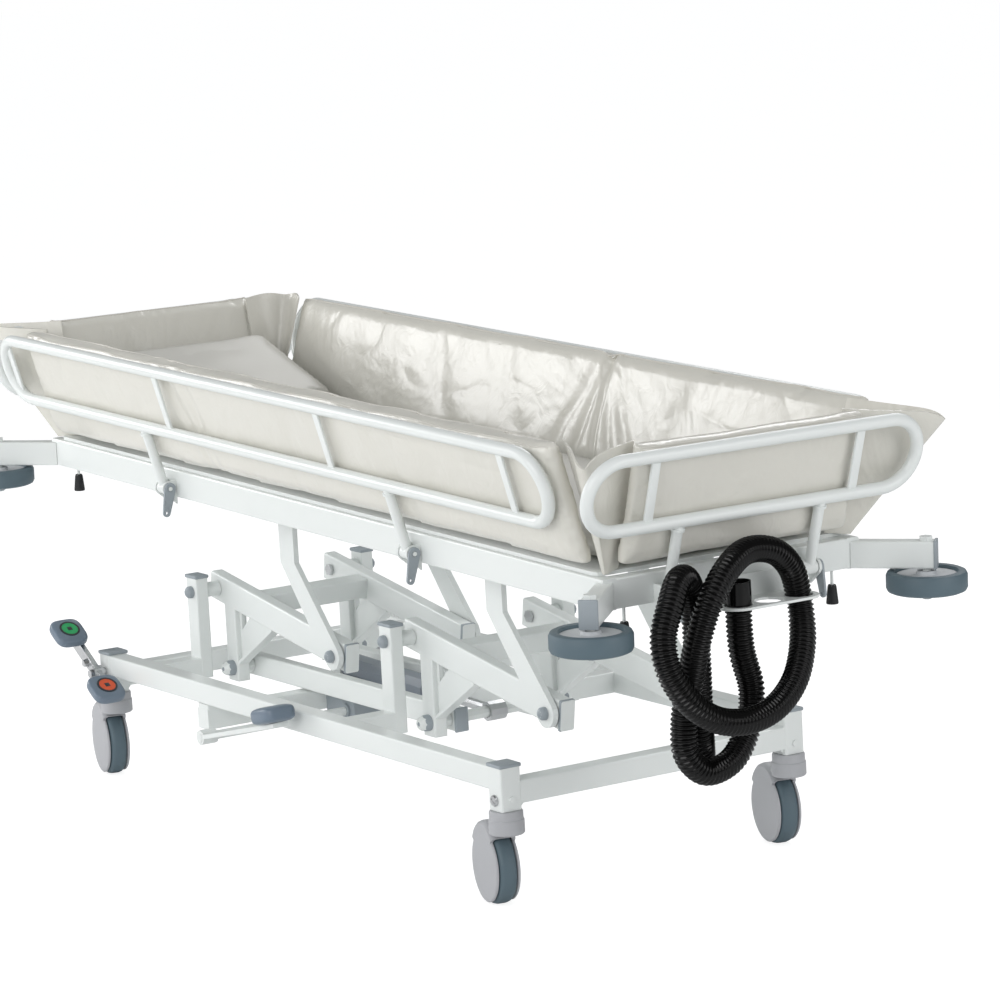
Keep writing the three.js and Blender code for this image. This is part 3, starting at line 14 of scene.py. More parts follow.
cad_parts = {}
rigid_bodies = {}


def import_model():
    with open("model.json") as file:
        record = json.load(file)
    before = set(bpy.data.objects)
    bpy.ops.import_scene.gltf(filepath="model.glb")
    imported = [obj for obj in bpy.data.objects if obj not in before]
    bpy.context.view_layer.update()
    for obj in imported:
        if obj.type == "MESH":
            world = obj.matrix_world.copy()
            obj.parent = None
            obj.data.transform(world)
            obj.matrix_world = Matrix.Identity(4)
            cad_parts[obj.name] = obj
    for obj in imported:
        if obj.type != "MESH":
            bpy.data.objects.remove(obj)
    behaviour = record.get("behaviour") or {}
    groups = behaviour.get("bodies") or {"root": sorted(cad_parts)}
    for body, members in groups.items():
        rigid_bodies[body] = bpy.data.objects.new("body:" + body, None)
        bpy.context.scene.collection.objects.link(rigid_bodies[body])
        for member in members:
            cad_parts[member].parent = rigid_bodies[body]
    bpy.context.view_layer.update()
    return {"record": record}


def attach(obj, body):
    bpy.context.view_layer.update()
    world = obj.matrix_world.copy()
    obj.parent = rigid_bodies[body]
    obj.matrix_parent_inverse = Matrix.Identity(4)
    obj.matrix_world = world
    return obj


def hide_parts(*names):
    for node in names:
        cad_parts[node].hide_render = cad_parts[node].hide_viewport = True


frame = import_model()
MM = 0.001

# %% [markdown]
# ## Camera
# A photo is matched by finding where its camera stood. Castors, pivots, frame corners and rail ends
# were set against their places on the model, which gives the lens, the place and three angles. The
# axes are worked out from the angles here, so the roll needs no helper object.

# %%
FOCAL_PIXELS, PICTURE_PIXELS, SENSOR_MM, FAR_CLIP = 4293.44, 1000, 36, 60
CAMERA_PLACE = (6.2654, -3.8519, 1.7468)
yaw, pitch, roll = (math.radians(a) for a in (57.362, 9.255, -3.053))
ahead = Vector((-math.sin(yaw) * math.cos(pitch), math.cos(yaw) * math.cos(pitch), -math.sin(pitch)))
right = Vector((math.cos(yaw), math.sin(yaw), 0))
up = right.cross(ahead)
right_rolled = math.cos(roll) * right + math.sin(roll) * up
up_rolled = math.cos(roll) * up - math.sin(roll) * right
camera = bpy.data.objects.new("camera", bpy.data.cameras.new("camera"))
bpy.context.collection.objects.link(camera)
camera.matrix_world = (Matrix.Translation(CAMERA_PLACE)
                       @ Matrix((right_rolled, up_rolled, -ahead)).transposed().to_4x4())
camera.data.sensor_width = SENSOR_MM
camera.data.lens = SENSOR_MM * FOCAL_PIXELS / PICTURE_PIXELS
camera.data.clip_end = FAR_CLIP
bpy.context.scene.camera = camera
print("lens", round(camera.data.lens, 2), "mm")

# %% [markdown]
# ## Places
# The trolley is drawn in millimetres. Its lying surface falls a little towards the drain end, which is
# awkward to draw in, so that part is drawn level and one matrix, TOP, tips it and turns it to metres.
# LEVEL only turns millimetres to metres.

# %%
FALL = math.radians(1.42)
FRAME_TOP, FRAME_X, FRAME_Y, FRAME_H = 586, 913, 247, 50
BUMPER_DROP = FRAME_H + 4 + 17
TOP = (Matrix.Scale(MM, 4) @ Matrix.Translation(((BUMPER_DROP - FRAME_TOP) * math.sin(FALL), 0,
       FRAME_TOP * (1 - math.cos(FALL)))) @ Matrix.Rotation(FALL, 4, "Y"))
LEVEL = Matrix.Scale(MM, 4)
print("the frame falls", round(2 * FRAME_X * math.sin(FALL)), "mm from head to foot")

# %% [markdown]
# ## Mesh tools
# Almost every part of the trolley is a tube, a turned part or a sawn block, so three tools make most
# of it. Tubes and turned parts are rows of rings joined by quads. A block is a cube with its edges
# rounded, because a sharp edge catches no light. Each piece's place is put in its mesh and its object
# stays at the origin, as a CAD part's does.


# %%
def make(name, body, material, builder, place=LEVEL, smooth=True, seam=0.6):
    """Builds a mesh with builder(bm), puts it in its place and rides it on a body."""
    bm = bmesh.new()
    builder(bm)
    bmesh.ops.transform(bm, matrix=place, verts=bm.verts)
    bmesh.ops.recalc_face_normals(bm, faces=bm.faces)
    mesh = bpy.data.meshes.new(name)
    bm.to_mesh(mesh)
    bm.free()
    piece = bpy.data.objects.new(name, mesh)
    bpy.context.collection.objects.link(piece)
    for item in material if isinstance(material, list) else [material]:
        mesh.materials.append(item)
    if smooth:
        mesh.shade_smooth()
        mesh.set_sharp_from_angle(angle=seam)
    if body:
        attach(piece, body)
    return piece


def join_rings(bm, rings, closed=False, slot=0):
    """Skins a row of rings. A closed row ends where it starts, an open one gets a cap at each end."""
    made = [[bm.verts.new(p) for p in ring] for ring in rings]
    count = len(made[0])
    for i in range(len(made) if closed else len(made) - 1):
        a, b = made[i], made[(i + 1) % len(made)]
        for k in range(count):
            face = bm.faces.new((a[k], a[(k + 1) % count], b[(k + 1) % count], b[k]))
            face.material_index = slot
    if not closed:
        bm.faces.new(made[0][::-1]).material_index = slot
        bm.faces.new(made[-1]).material_index = slot


print("rings and pieces ready")

# %%
AXIS_R = 0.02


def lathe(bm, profile, base, direction, sides=32, slot=0, hollow=False):
    """A turned part from (radius, height) pairs. The profile of a hollow part closes on itself."""
    turn = Vector((0, 0, 1)).rotation_difference(Vector(direction).normalized()).to_matrix()
    rings = []
    for radius, height in profile:
        radius = max(radius, AXIS_R)
        rings.append([turn @ Vector((radius * math.cos(a), radius * math.sin(a), height)) + Vector(base)
                      for a in (math.tau * k / sides for k in range(sides))])
    join_rings(bm, rings, closed=hollow, slot=slot)


def carried(points, start, closed=False):
    """Two side directions at each point, carried along the line without twisting."""
    out, side = [], Vector(start)
    for i, point in enumerate(points):
        if closed:
            along = points[(i + 1) % len(points)] - points[i - 1]
        else:
            along = points[min(i + 1, len(points) - 1)] - points[max(i - 1, 0)]
        along.normalize()
        side = (side - along * side.dot(along)).normalized()
        out.append((point, side, along.cross(side)))
    return out


def tube(bm, points, radius, sides=16, closed=False):
    rings = []
    for point, side, over in carried([Vector(p) for p in points], (0, 1, 0), closed):
        rings.append([point + radius * (math.cos(a) * side + math.sin(a) * over)
                      for a in (math.tau * k / sides for k in range(sides))])
    join_rings(bm, rings, closed=closed)


def block(bm, centre, size, turn=None, bevel=1.5, slot=0):
    made = bmesh.ops.create_cube(bm, size=1)["verts"]
    bmesh.ops.scale(bm, vec=size, verts=made)
    edges = list({e for v in made for e in v.link_edges})
    cut = bmesh.ops.bevel(bm, geom=edges, offset=bevel, segments=3, profile=0.5, affect="EDGES")
    verts = list({v for f in cut["faces"] for v in f.verts} | {v for v in made if v.is_valid})
    for face in {f for v in verts for f in v.link_faces}:
        face.material_index = slot
    if turn is not None:
        bmesh.ops.rotate(bm, matrix=turn, verts=verts)
    bmesh.ops.translate(bm, vec=centre, verts=verts)


print("mesh tools ready")

# %% [markdown]
# ## Node tools
# Materials and the repeating shapes are both made of nodes. One helper opens a group of either kind
# with its named inputs, one adds a node and wires it, and one does arithmetic.


# %%
def group(name, inputs, outputs, kind="ShaderNodeTree"):
    tree = bpy.data.node_groups.new(name, kind)
    for label, socket_kind, value in inputs:
        socket = tree.interface.new_socket(label, in_out="INPUT", socket_type=socket_kind)
        if value is not None:
            socket.default_value = value
    for label, socket_kind in outputs:
        tree.interface.new_socket(label, in_out="OUTPUT", socket_type=socket_kind)
    return tree, tree.nodes.new("NodeGroupInput"), tree.nodes.new("NodeGroupOutput")


def node(tree, kind, links=None, **values):
    """A value goes to the node's own setting where it has one of that name, or else to its input."""
    made = tree.nodes.new(kind)
    for key, value in values.items():
        if hasattr(made, key):
            setattr(made, key, value)
        else:
            made.inputs[key.replace("_", " ")].default_value = value
    for key, source in (links or {}).items():
        tree.links.new(source, made.inputs[key])
    return made


def maths(tree, operation, first, second=None):
    made = tree.nodes.new("ShaderNodeMath")
    made.operation = operation
    for socket, value in zip(made.inputs, (first, second)):
        if hasattr(value, "is_output"):
            tree.links.new(value, socket)
        elif value is not None:
            socket.default_value = value
    return made.outputs[0]


print("node tools ready")

# %% [markdown]
# ## Surface group
# No coat of paint or moulding is quite even. A broad noise dims the colour and roughens the gloss a
# little, and a fine one gives the orange peel of powder coat or the grain of a mould. It is a group,
# because every finish here uses it with values of its own. Object coordinates keep the pattern on the
# piece while its body moves.

# %%
surface_group, g_in, g_out = group(
    "lived_in_surface",
    [("Colour", "NodeSocketColor", (0.8, 0.8, 0.8, 1)), ("Dark", "NodeSocketFloat", 0.9),
     ("Roughness", "NodeSocketFloat", 0.4), ("Uneven", "NodeSocketFloat", 0.08),
     ("Broad", "NodeSocketFloat", 3.0), ("Fine", "NodeSocketFloat", 240.0), ("Bump", "NodeSocketFloat", 0.05)],
    [("Colour", "NodeSocketColor"), ("Roughness", "NodeSocketFloat"), ("Normal", "NodeSocketVector")])
t = surface_group
on_piece = node(t, "ShaderNodeTexCoord").outputs["Object"]
broad = node(t, "ShaderNodeTexNoise", {"Vector": on_piece, "Scale": g_in.outputs["Broad"]}, Detail=4)
fine = node(t, "ShaderNodeTexNoise", {"Vector": on_piece, "Scale": g_in.outputs["Fine"]}, Detail=3)
dim = node(t, "ShaderNodeMix", {"Factor": broad.outputs["Fac"], "A": g_in.outputs["Dark"]},
           data_type="FLOAT", B=1.0)
tint = node(t, "ShaderNodeVectorMath", {0: g_in.outputs["Colour"], "Scale": dim.outputs[0]}, operation="SCALE")
rough = maths(t, "ADD", g_in.outputs["Roughness"],
              maths(t, "MULTIPLY", broad.outputs["Fac"], g_in.outputs["Uneven"]))
skin_bump = node(t, "ShaderNodeBump", {"Height": fine.outputs["Fac"], "Strength": g_in.outputs["Bump"]},
                 Distance=0.001)
t.links.new(tint.outputs[0], g_out.inputs["Colour"])
t.links.new(rough, g_out.inputs["Roughness"])
t.links.new(skin_bump.outputs[0], g_out.inputs["Normal"])
print(t.name, len(t.nodes), "nodes")

# %% [markdown]
# ## Fold group
# The liner is a coated cloth. Its large creases are real shape, made with the panels below. Between
# them the cloth still ripples, too finely for a mesh, so a stretched noise and a small pucker bump it.

# %%
fold_group, f_in, f_out = group(
    "sheet_folds",
    [("Stretch", "NodeSocketVector", (8.0, 8.0, 1.6)), ("Folds", "NodeSocketFloat", 0.5),
     ("Normal", "NodeSocketVector", None)],
    [("Height", "NodeSocketFloat"), ("Normal", "NodeSocketVector")])
t = fold_group
on_piece = node(t, "ShaderNodeTexCoord").outputs["Object"]
scaled = node(t, "ShaderNodeVectorMath", {0: on_piece, 1: f_in.outputs["Stretch"]}, operation="MULTIPLY")
wave = node(t, "ShaderNodeTexNoise", {"Vector": scaled.outputs[0]}, Scale=1.0, Detail=3, Distortion=0.8)
pucker = node(t, "ShaderNodeTexNoise", {"Vector": on_piece}, Scale=26.0, Detail=3, Distortion=1.2)
height = maths(t, "ADD", wave.outputs["Fac"], maths(t, "MULTIPLY", pucker.outputs["Fac"], 0.14))
fold_bump = node(t, "ShaderNodeBump", {"Height": height, "Strength": f_in.outputs["Folds"],
                                       "Normal": f_in.outputs["Normal"]}, Distance=0.02)
t.links.new(height, f_out.inputs["Height"])
t.links.new(fold_bump.outputs[0], f_out.inputs["Normal"])
print(t.name, len(t.nodes), "nodes")

# %% [markdown]
# ## Materials
# Each finish is one Principled shader fed by the groups. Numbers that are the same all over, such as
# the clear coat and the specular level, are set on the shader itself.

# %%
COAT_ROUGHNESS = 0.12


def material(name, colour, roughness, metallic=0.0, dark=0.92, uneven=0.08, broad=3.0, fine=240.0,
             bump=0.05, coat=0.0, folds=0.0, stretch=(8.0, 8.0, 1.6), specular=0.5):
    made = bpy.data.materials.new(name)
    made.use_nodes = True
    tree = made.node_tree
    shader = tree.nodes["Principled BSDF"]
    base = tree.nodes.new("ShaderNodeGroup")
    base.node_tree = surface_group
    for key, value in (("Colour", (*colour, 1)), ("Dark", dark), ("Roughness", roughness),
                       ("Uneven", uneven), ("Broad", broad), ("Fine", fine), ("Bump", bump)):
        base.inputs[key].default_value = value
    tree.links.new(base.outputs["Colour"], shader.inputs["Base Color"])
    tree.links.new(base.outputs["Roughness"], shader.inputs["Roughness"])
    normal = base.outputs["Normal"]
    if folds:
        fold = tree.nodes.new("ShaderNodeGroup")
        fold.node_tree = fold_group
        fold.inputs["Stretch"].default_value = stretch
        fold.inputs["Folds"].default_value = folds
        tree.links.new(normal, fold.inputs["Normal"])
        normal = fold.outputs["Normal"]
    tree.links.new(normal, shader.inputs["Normal"])
    shader.inputs["Metallic"].default_value = metallic
    shader.inputs["Coat Weight"].default_value = coat
    shader.inputs["Coat Roughness"].default_value = COAT_ROUGHNESS
    shader.inputs["Specular IOR Level"].default_value = specular
    return made


WHITE = material("powder_coat", (0.80, 0.83, 0.815), 0.30, dark=0.95, fine=520.0, bump=0.10, coat=0.2)
GREY = material("grey_caps", (0.33, 0.37, 0.40), 0.45, fine=600.0, bump=0.12)
PALE = material("pale_hood", (0.44, 0.445, 0.465), 0.42, dark=0.94, fine=420.0, bump=0.12)
BLUE = material("blue_grey_moulding", (0.16, 0.21, 0.27), 0.35, fine=420.0, bump=0.08, coat=0.2)
TREAD = material("wheel_tread", (0.105, 0.155, 0.185), 0.5, dark=0.85, fine=160.0, bump=0.2)
HUB = material("wheel_hub", (0.55, 0.57, 0.59), 0.45, fine=300.0, bump=0.1)
STEEL = material("bright_steel", (0.62, 0.63, 0.64), 0.24, metallic=1.0, dark=0.85, fine=700.0, bump=0.06)
RUBBER = material("black_rubber", (0.014, 0.015, 0.017), 0.55, dark=0.7, fine=300.0, bump=0.2)
HOSE = material("black_hose", (0.004, 0.004, 0.004), 0.16, dark=0.6, uneven=0.03, broad=9.0, fine=90.0,
                coat=0.1, specular=0.22)
LINER = material("liner_inside", (0.70, 0.685, 0.625), 0.26, dark=0.95, fine=900.0, bump=0.06, coat=0.3,
                 folds=0.6, stretch=(5.0, 7.0, 4.0))
PAD = material("mattress_cover", (0.56, 0.55, 0.505), 0.42, dark=0.96, fine=900.0, bump=0.06, coat=0.1,
               folds=0.12, stretch=(4.0, 6.0, 4.0))
HEM = material("liner_hem", (0.66, 0.64, 0.585), 0.36, dark=0.94, fine=800.0, bump=0.08)
GREEN = material("green_disc", (0.02, 0.42, 0.13), 0.4, fine=500.0)
RED = material("red_disc", (0.75, 0.10, 0.03), 0.4, fine=500.0)
DARK = material("dark_ring", (0.03, 0.035, 0.04), 0.4, fine=500.0)
RAM = material("ram_barrel", (0.22, 0.25, 0.29), 0.3, fine=400.0, coat=0.3)
print("materials", len(bpy.data.materials))

# %% [markdown]
# The CAD names a finish for each part. That finish goes on every CAD mesh now, so a part that is not
# swapped for a finer piece is painted too.

# %%
BY_SLOT = {"white_paint": WHITE, "grey_plastic": GREY, "pale_plastic": PALE, "blue_grey_plastic": RAM,
           "wheel_tread": TREAD, "bright_steel": STEEL, "liner_sheet": LINER, "black_hose": HOSE,
           "green_disc": GREEN, "red_disc": RED}
for entry in frame["record"]["subparts"]:
    cad = bpy.data.objects[entry["node"]]
    cad.data.materials.clear()
    cad.data.materials.append(BY_SLOT[entry["material_slot"]])

# %% [markdown]
# ## Geometry Nodes: ribs along a route
# The hose has nearly three hundred ribs. An Array and a Curve modifier could repeat one rib, but its
# ends would have to be joined. Here the route is cut into eight steps a rib, a wave over the steps
# gives the radius, and a circle is swept along at that radius, so it is one skin. The last few steps
# at each end stay plain, as the cuffs of the real hose do.

# %%
RIB_SAMPLES, CREST_SHARE, ROOT_SHARE = 8, 0.06, 0.34


def finish_tree(tree, shape, material_input, result):
    """Every tree ends so: real geometry, smooth, painted."""
    real = node(tree, "GeometryNodeRealizeInstances", {"Geometry": shape})
    smooth = node(tree, "GeometryNodeSetShadeSmooth", {"Geometry": real.outputs["Geometry"]})
    painted = node(tree, "GeometryNodeSetMaterial",
                   {"Geometry": smooth.outputs["Geometry"], "Material": material_input})
    tree.links.new(painted.outputs["Geometry"], result.inputs["Geometry"])


rib_tree, r_in, r_out = group(
    "ribs_along_route",
    [("Geometry", "NodeSocketGeometry", None), ("Ribs", "NodeSocketInt", 290),
     ("Plain ribs", "NodeSocketInt", 5), ("Crest radius", "NodeSocketFloat", 0.0215),
     ("Root radius", "NodeSocketFloat", 0.0186), ("Sides", "NodeSocketInt", 20),
     ("Material", "NodeSocketMaterial", None)],
    [("Geometry", "NodeSocketGeometry")], kind="GeometryNodeTree")
t = rib_tree
all_ribs = maths(t, "ADD", r_in.outputs["Ribs"], maths(t, "MULTIPLY", r_in.outputs["Plain ribs"], 2.0))
steps = maths(t, "ADD", maths(t, "MULTIPLY", all_ribs, RIB_SAMPLES), 1.0)
route = node(t, "GeometryNodeMeshToCurve", {"Mesh": r_in.outputs["Geometry"]})
even = node(t, "GeometryNodeResampleCurve", {"Curve": route.outputs["Curve"], "Count": steps})
along = maths(t, "MULTIPLY", node(t, "GeometryNodeSplineParameter").outputs["Factor"], all_ribs)
from_crest = maths(t, "ABSOLUTE", maths(t, "SUBTRACT", maths(t, "FRACT", along), 0.5))
wave = node(t, "ShaderNodeMapRange",
            {"Value": from_crest, "To Min": r_in.outputs["Crest radius"],
             "To Max": r_in.outputs["Root radius"]}, From_Min=CREST_SHARE, From_Max=ROOT_SHARE)
from_middle = maths(t, "ABSOLUTE", maths(t, "SUBTRACT", along, maths(t, "MULTIPLY", all_ribs, 0.5)))
at_end = maths(t, "GREATER_THAN", from_middle, maths(t, "MULTIPLY", r_in.outputs["Ribs"], 0.5))
radius = node(t, "ShaderNodeMix", {"Factor": at_end, "A": wave.outputs["Result"],
                                   "B": r_in.outputs["Crest radius"]}, data_type="FLOAT")
ring = node(t, "GeometryNodeCurvePrimitiveCircle", {"Resolution": r_in.outputs["Sides"]}, Radius=1.0)
skin = node(t, "GeometryNodeCurveToMesh", {
    "Curve": even.outputs["Curve"], "Profile Curve": ring.outputs["Curve"], "Scale": radius.outputs[0]})
finish_tree(t, skin.outputs["Mesh"], r_in.outputs["Material"], r_out)
print(t.name, len(t.nodes), "nodes")

# %% [markdown]
# ## Geometry Nodes: a dome nut at every pivot
# A smooth plastic nut covers each bolt of the lift. A circle swept up a short line, with the radius of
# a rounded square, gives the dome, and one copy stands on each point, turned to face outwards.

# %%
nut_tree, n_in, n_out = group(
    "dome_nuts_on_points",
    [("Geometry", "NodeSocketGeometry", None), ("Radius", "NodeSocketFloat", 0.011),
     ("Height", "NodeSocketFloat", 0.0142), ("Squareness", "NodeSocketFloat", 6.0),
     ("Steps", "NodeSocketInt", 14), ("Sides", "NodeSocketInt", 32), ("Material", "NodeSocketMaterial", None)],
    [("Geometry", "NodeSocketGeometry")], kind="GeometryNodeTree")
t = nut_tree
line = node(t, "GeometryNodeCurvePrimitiveLine")
cut = node(t, "GeometryNodeResampleCurve", {"Curve": line.outputs["Curve"], "Count": n_in.outputs["Steps"]})
climb = maths(t, "SINE", maths(t, "MULTIPLY", node(t, "GeometryNodeSplineParameter").outputs["Factor"],
                               math.pi / 2))
spot = node(t, "ShaderNodeCombineXYZ", {"Z": maths(t, "MULTIPLY", climb, n_in.outputs["Height"])})
risen = node(t, "GeometryNodeSetPosition", {"Geometry": cut.outputs["Curve"],
                                            "Position": spot.outputs["Vector"]})
width = maths(t, "SQRT", maths(t, "SUBTRACT", 1.0, maths(t, "POWER", climb, n_in.outputs["Squareness"])))
domed = maths(t, "MAXIMUM", maths(t, "MULTIPLY", width, n_in.outputs["Radius"]), 1e-5)
ring = node(t, "GeometryNodeCurvePrimitiveCircle", {"Resolution": n_in.outputs["Sides"]}, Radius=1.0)
nut = node(t, "GeometryNodeCurveToMesh", {
    "Curve": risen.outputs["Geometry"], "Profile Curve": ring.outputs["Curve"], "Scale": domed}, Fill_Caps=True)
facing = node(t, "GeometryNodeInputNamedAttribute", data_type="FLOAT_VECTOR", Name="facing")
turned = node(t, "FunctionNodeAlignRotationToVector", {"Vector": facing.outputs["Attribute"]}, axis="Z")
placed = node(t, "GeometryNodeInstanceOnPoints", {
    "Points": n_in.outputs["Geometry"], "Instance": nut.outputs["Mesh"],
    "Rotation": turned.outputs["Rotation"]})
finish_tree(t, placed.outputs["Instances"], n_in.outputs["Material"], n_out)
print(t.name, len(t.nodes), "nodes")

# %% [markdown]
# A tree works on a modifier. Its inputs are set by their identifiers, the result is baked to a plain
# mesh, and the modifier goes. A Solidify after it gives the hose its wall.


# %%
def grown(name, body, tree, sizes, points, joined=True, facing=None, wall=0.0):
    """Runs a tree on a line or a scatter of points, in metres, and rides the baked mesh on a body."""
    mesh = bpy.data.meshes.new(name + "_points")
    edges = [(i, i + 1) for i in range(len(points) - 1)] if joined else []
    mesh.from_pydata([tuple(p) for p in points], edges, [])
    if facing:
        stored = mesh.attributes.new("facing", "FLOAT_VECTOR", "POINT")
        stored.data.foreach_set("vector", [c for f in facing for c in f])
    piece = bpy.data.objects.new(name, mesh)
    bpy.context.collection.objects.link(piece)
    nodes = piece.modifiers.new("nodes", "NODES")
    nodes.node_group = tree
    for socket in tree.interface.items_tree:
        if socket.in_out == "INPUT" and socket.name in sizes:
            nodes[socket.identifier] = sizes[socket.name]
    if wall:
        hollow = piece.modifiers.new("wall", "SOLIDIFY")
        hollow.thickness, hollow.offset = wall, -1
    graph = bpy.context.evaluated_depsgraph_get()
    baked = bpy.data.meshes.new_from_object(piece.evaluated_get(graph), depsgraph=graph)
    piece.modifiers.clear()
    piece.data = baked
    bpy.data.meshes.remove(mesh)
    bm = bmesh.new()
    bm.from_mesh(baked)
    bmesh.ops.recalc_face_normals(bm, faces=bm.faces)
    bm.to_mesh(baked)
    open_edges = sum(not e.is_manifold for e in bm.edges)
    print(name, len(baked.polygons), "faces,", open_edges, "open edges,",
          round(bm.calc_volume() * 1e6, 1), "ml")
    bm.free()
    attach(piece, body)
    return piece


print("trees ready")

# %% [markdown]
# ## Drain hose
# One length of ribbed hose hangs from the spout in two loops and rests its end in a plate. It could be
# a plain tube with a bump, but the ribs show at its outline, so they are real shape. The route is the
# CAD's own, a smooth curve through points read off the photo.

# %%
HOSE_ROUTE = [
    (.850, -.030, .505), (.850, -.030, .462), (.850, -.030, .400), (.854, -.033, .335), (.872, -.046, .284),
    (.908, -.072, .260), (.942, -.097, .285), (.965, -.113, .338), (.974, -.119, .402), (.976, -.121, .462),
    (.977, -.122, .505), (.980, -.129, .539), (.991, -.147, .561), (1.009, -.173, .561), (1.027, -.200, .535),
    (1.042, -.228, .484), (1.052, -.226, .436), (1.058, -.196, .386), (1.058, -.150, .352), (1.052, -.090, .338),
    (1.038, -.022, .347), (1.018, .033, .379), (.994, .068, .425), (.975, .083, .466), (.968, .084, .498),
    (.972, .070, .542), (.986, .028, .578), (1.000, -.032, .590), (1.028, -.092, .574), (1.041, -.136, .532),
    (1.032, -.158, .469), (1.012, -.161, .405), (1.001, -.168, .344), (1.000, -.166, .292), (.994, -.128, .256),
    (.984, -.068, .264), (.975, -.028, .312), (.971, -.017, .366), (.968, -.030, .430), (.968, -.033, .538),
]
HOSE_R, HOSE_ROOT, HOSE_WALL, HOSE_RIBS, HOSE_PLAIN = 0.0215, 0.0186, 0.0013, 290, 5
CURVE_STEPS, CORD_STEPS = 24, 400


def smooth_route(points):
    """Centripetal curve through the points, as the CAD draws it."""
    pts = [Vector(p) for p in points]
    pts = [pts[0] * 2 - pts[1]] + pts + [pts[-1] * 2 - pts[-2]]
    out = []
    for i in range(1, len(pts) - 2):
        p0, p1, p2, p3 = pts[i - 1:i + 3]
        d0, d1, d2 = ((b - a).length ** 0.5 for a, b in ((p0, p1), (p1, p2), (p2, p3)))
        t1 = ((p1 - p0) / d0 - (p2 - p0) / (d0 + d1) + (p2 - p1) / d1) * d1
        t2 = ((p2 - p1) / d1 - (p3 - p1) / (d1 + d2) + (p3 - p2) / d2) * d1
        for k in range(CURVE_STEPS):
            s = k / CURVE_STEPS
            out.append(p1 + t1 * s + (3 * (p2 - p1) - 2 * t1 - t2) * s * s
                       + (2 * (p1 - p2) + t1 + t2) * s ** 3)
    return out + [pts[-2]]


def spaced(points, places):
    """The points at the given distances along a line, and the line's length."""
    reach = [0]
    for a, b in zip(points, points[1:]):
        reach.append(reach[-1] + (b - a).length)
    out, i = [], 0
    for place in places:
        while i < len(reach) - 2 and reach[i + 1] < place:
            i += 1
        out.append(points[i].lerp(points[i + 1], (place - reach[i]) / (reach[i + 1] - reach[i])))
    return out, reach[-1]


# %%
hose_line = smooth_route(HOSE_ROUTE)
hose_length = spaced(hose_line, [0])[1]
hose = grown("ribbed_drain_hose", "deck", rib_tree, {
    "Ribs": HOSE_RIBS, "Plain ribs": HOSE_PLAIN, "Crest radius": HOSE_R, "Root radius": HOSE_ROOT,
    "Material": HOSE}, hose_line, wall=HOSE_WALL)
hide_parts("drain_hose")
middle, _ = spaced(hose_line, [hose_length * i / CORD_STEPS for i in range(CORD_STEPS + 1)])
print("hose length", round(hose_length, 3), "m")

# %% [markdown]
# ## Guard rails
# Each rail is a rounded loop of tube with flat struts across it, on two legs that hinge on the frame's
# side and lean outwards. It is drawn upright from its hinge line, and one matrix for each side leans,
# turns and places it, so all four share one drawing.

# %%
RAIL_R, RAIL_LOW, RAIL_HIGH, LEAN = 10.6, 120, 238, math.radians(16.5)
PIN_OUT, PIN_DROP, LONG_SHIFT = 15, 32, -38
LONG_RAIL, SHORT_RAIL = (1808, 822), (630, 272)
LONG_STRUTS, SHORT_STRUTS = (-0.485, -0.172, 0.134, 0.44), (-0.31, 0.31)
STRUT_WIDE, STRUT_THICK, LEG_R, KNEE = 16, 5, 9, 30
EYE = [(5, -10), (11, -10), (11, 10), (5, 10)]
COLLAR, COLLAR_DROP = [(0, 0), (11.6, 0), (11.6, 4), (0, 4)], 15
SIDES = {"near": ((LONG_SHIFT, -FRAME_Y - PIN_OUT), 0), "far": ((LONG_SHIFT, FRAME_Y + PIN_OUT), math.pi),
         "foot": ((FRAME_X + PIN_OUT, 0), math.pi / 2), "head": ((-FRAME_X - PIN_OUT, 0), -math.pi / 2)}


def side_place(name):
    (x, y), turn = SIDES[name]
    return (TOP @ Matrix.Translation((x, y, FRAME_TOP - PIN_DROP)) @ Matrix.Rotation(turn, 4, "Z")
            @ Matrix.Rotation(LEAN, 4, "X"))


def rail_builder(name):
    is_long = name in ("near", "far")
    length, spacing = LONG_RAIL if is_long else SHORT_RAIL
    flip = -1 if name == "far" else 1

    def build(bm):
        bend, mid = (RAIL_HIGH - RAIL_LOW) / 2, (RAIL_HIGH + RAIL_LOW) / 2
        half = length / 2 - bend
        loop = []
        for e in (-1, 1):
            loop += [Vector((e * (half + bend * math.cos(a)), 0, mid + e * bend * math.sin(a)))
                     for a in (math.pi * (i / 18 - 0.5) for i in range(19))]
        tube(bm, loop, RAIL_R, 18, closed=True)
        for share in LONG_STRUTS if is_long else SHORT_STRUTS:
            block(bm, (share * length * flip, 0, mid), (STRUT_WIDE, STRUT_THICK, RAIL_HIGH - RAIL_LOW),
                  bevel=1.2)
        for e in (-1, 1):
            u = e * spacing / 2
            tube(bm, [(u, 0, RAIL_LOW), (u, 0, KNEE), (u, 0, 0)], LEG_R, 18)
            lathe(bm, EYE, (u, 0, 0), (1, 0, 0), 24, hollow=True)
            lathe(bm, COLLAR, (u, 0, RAIL_LOW - COLLAR_DROP), (0, 0, 1), 20)
    return build


for name in SIDES:
    rail = make(f"rail_tube_{name}", f"rail_{name}", WHITE, rail_builder(name), place=side_place(name))
    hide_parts(f"guard_rail_{name}")
    print(rail.name, len(rail.data.polygons), "faces")

# %% [markdown]
# ## Padding tools
# The liner's panels, the mattress and the pillow are foam in a coated cover. A slab with soft edges is
# remeshed evenly and blown up a little by cloth pressure, which rounds it as foam does. How far a
# point may move is capped, so a pad keeps its size.


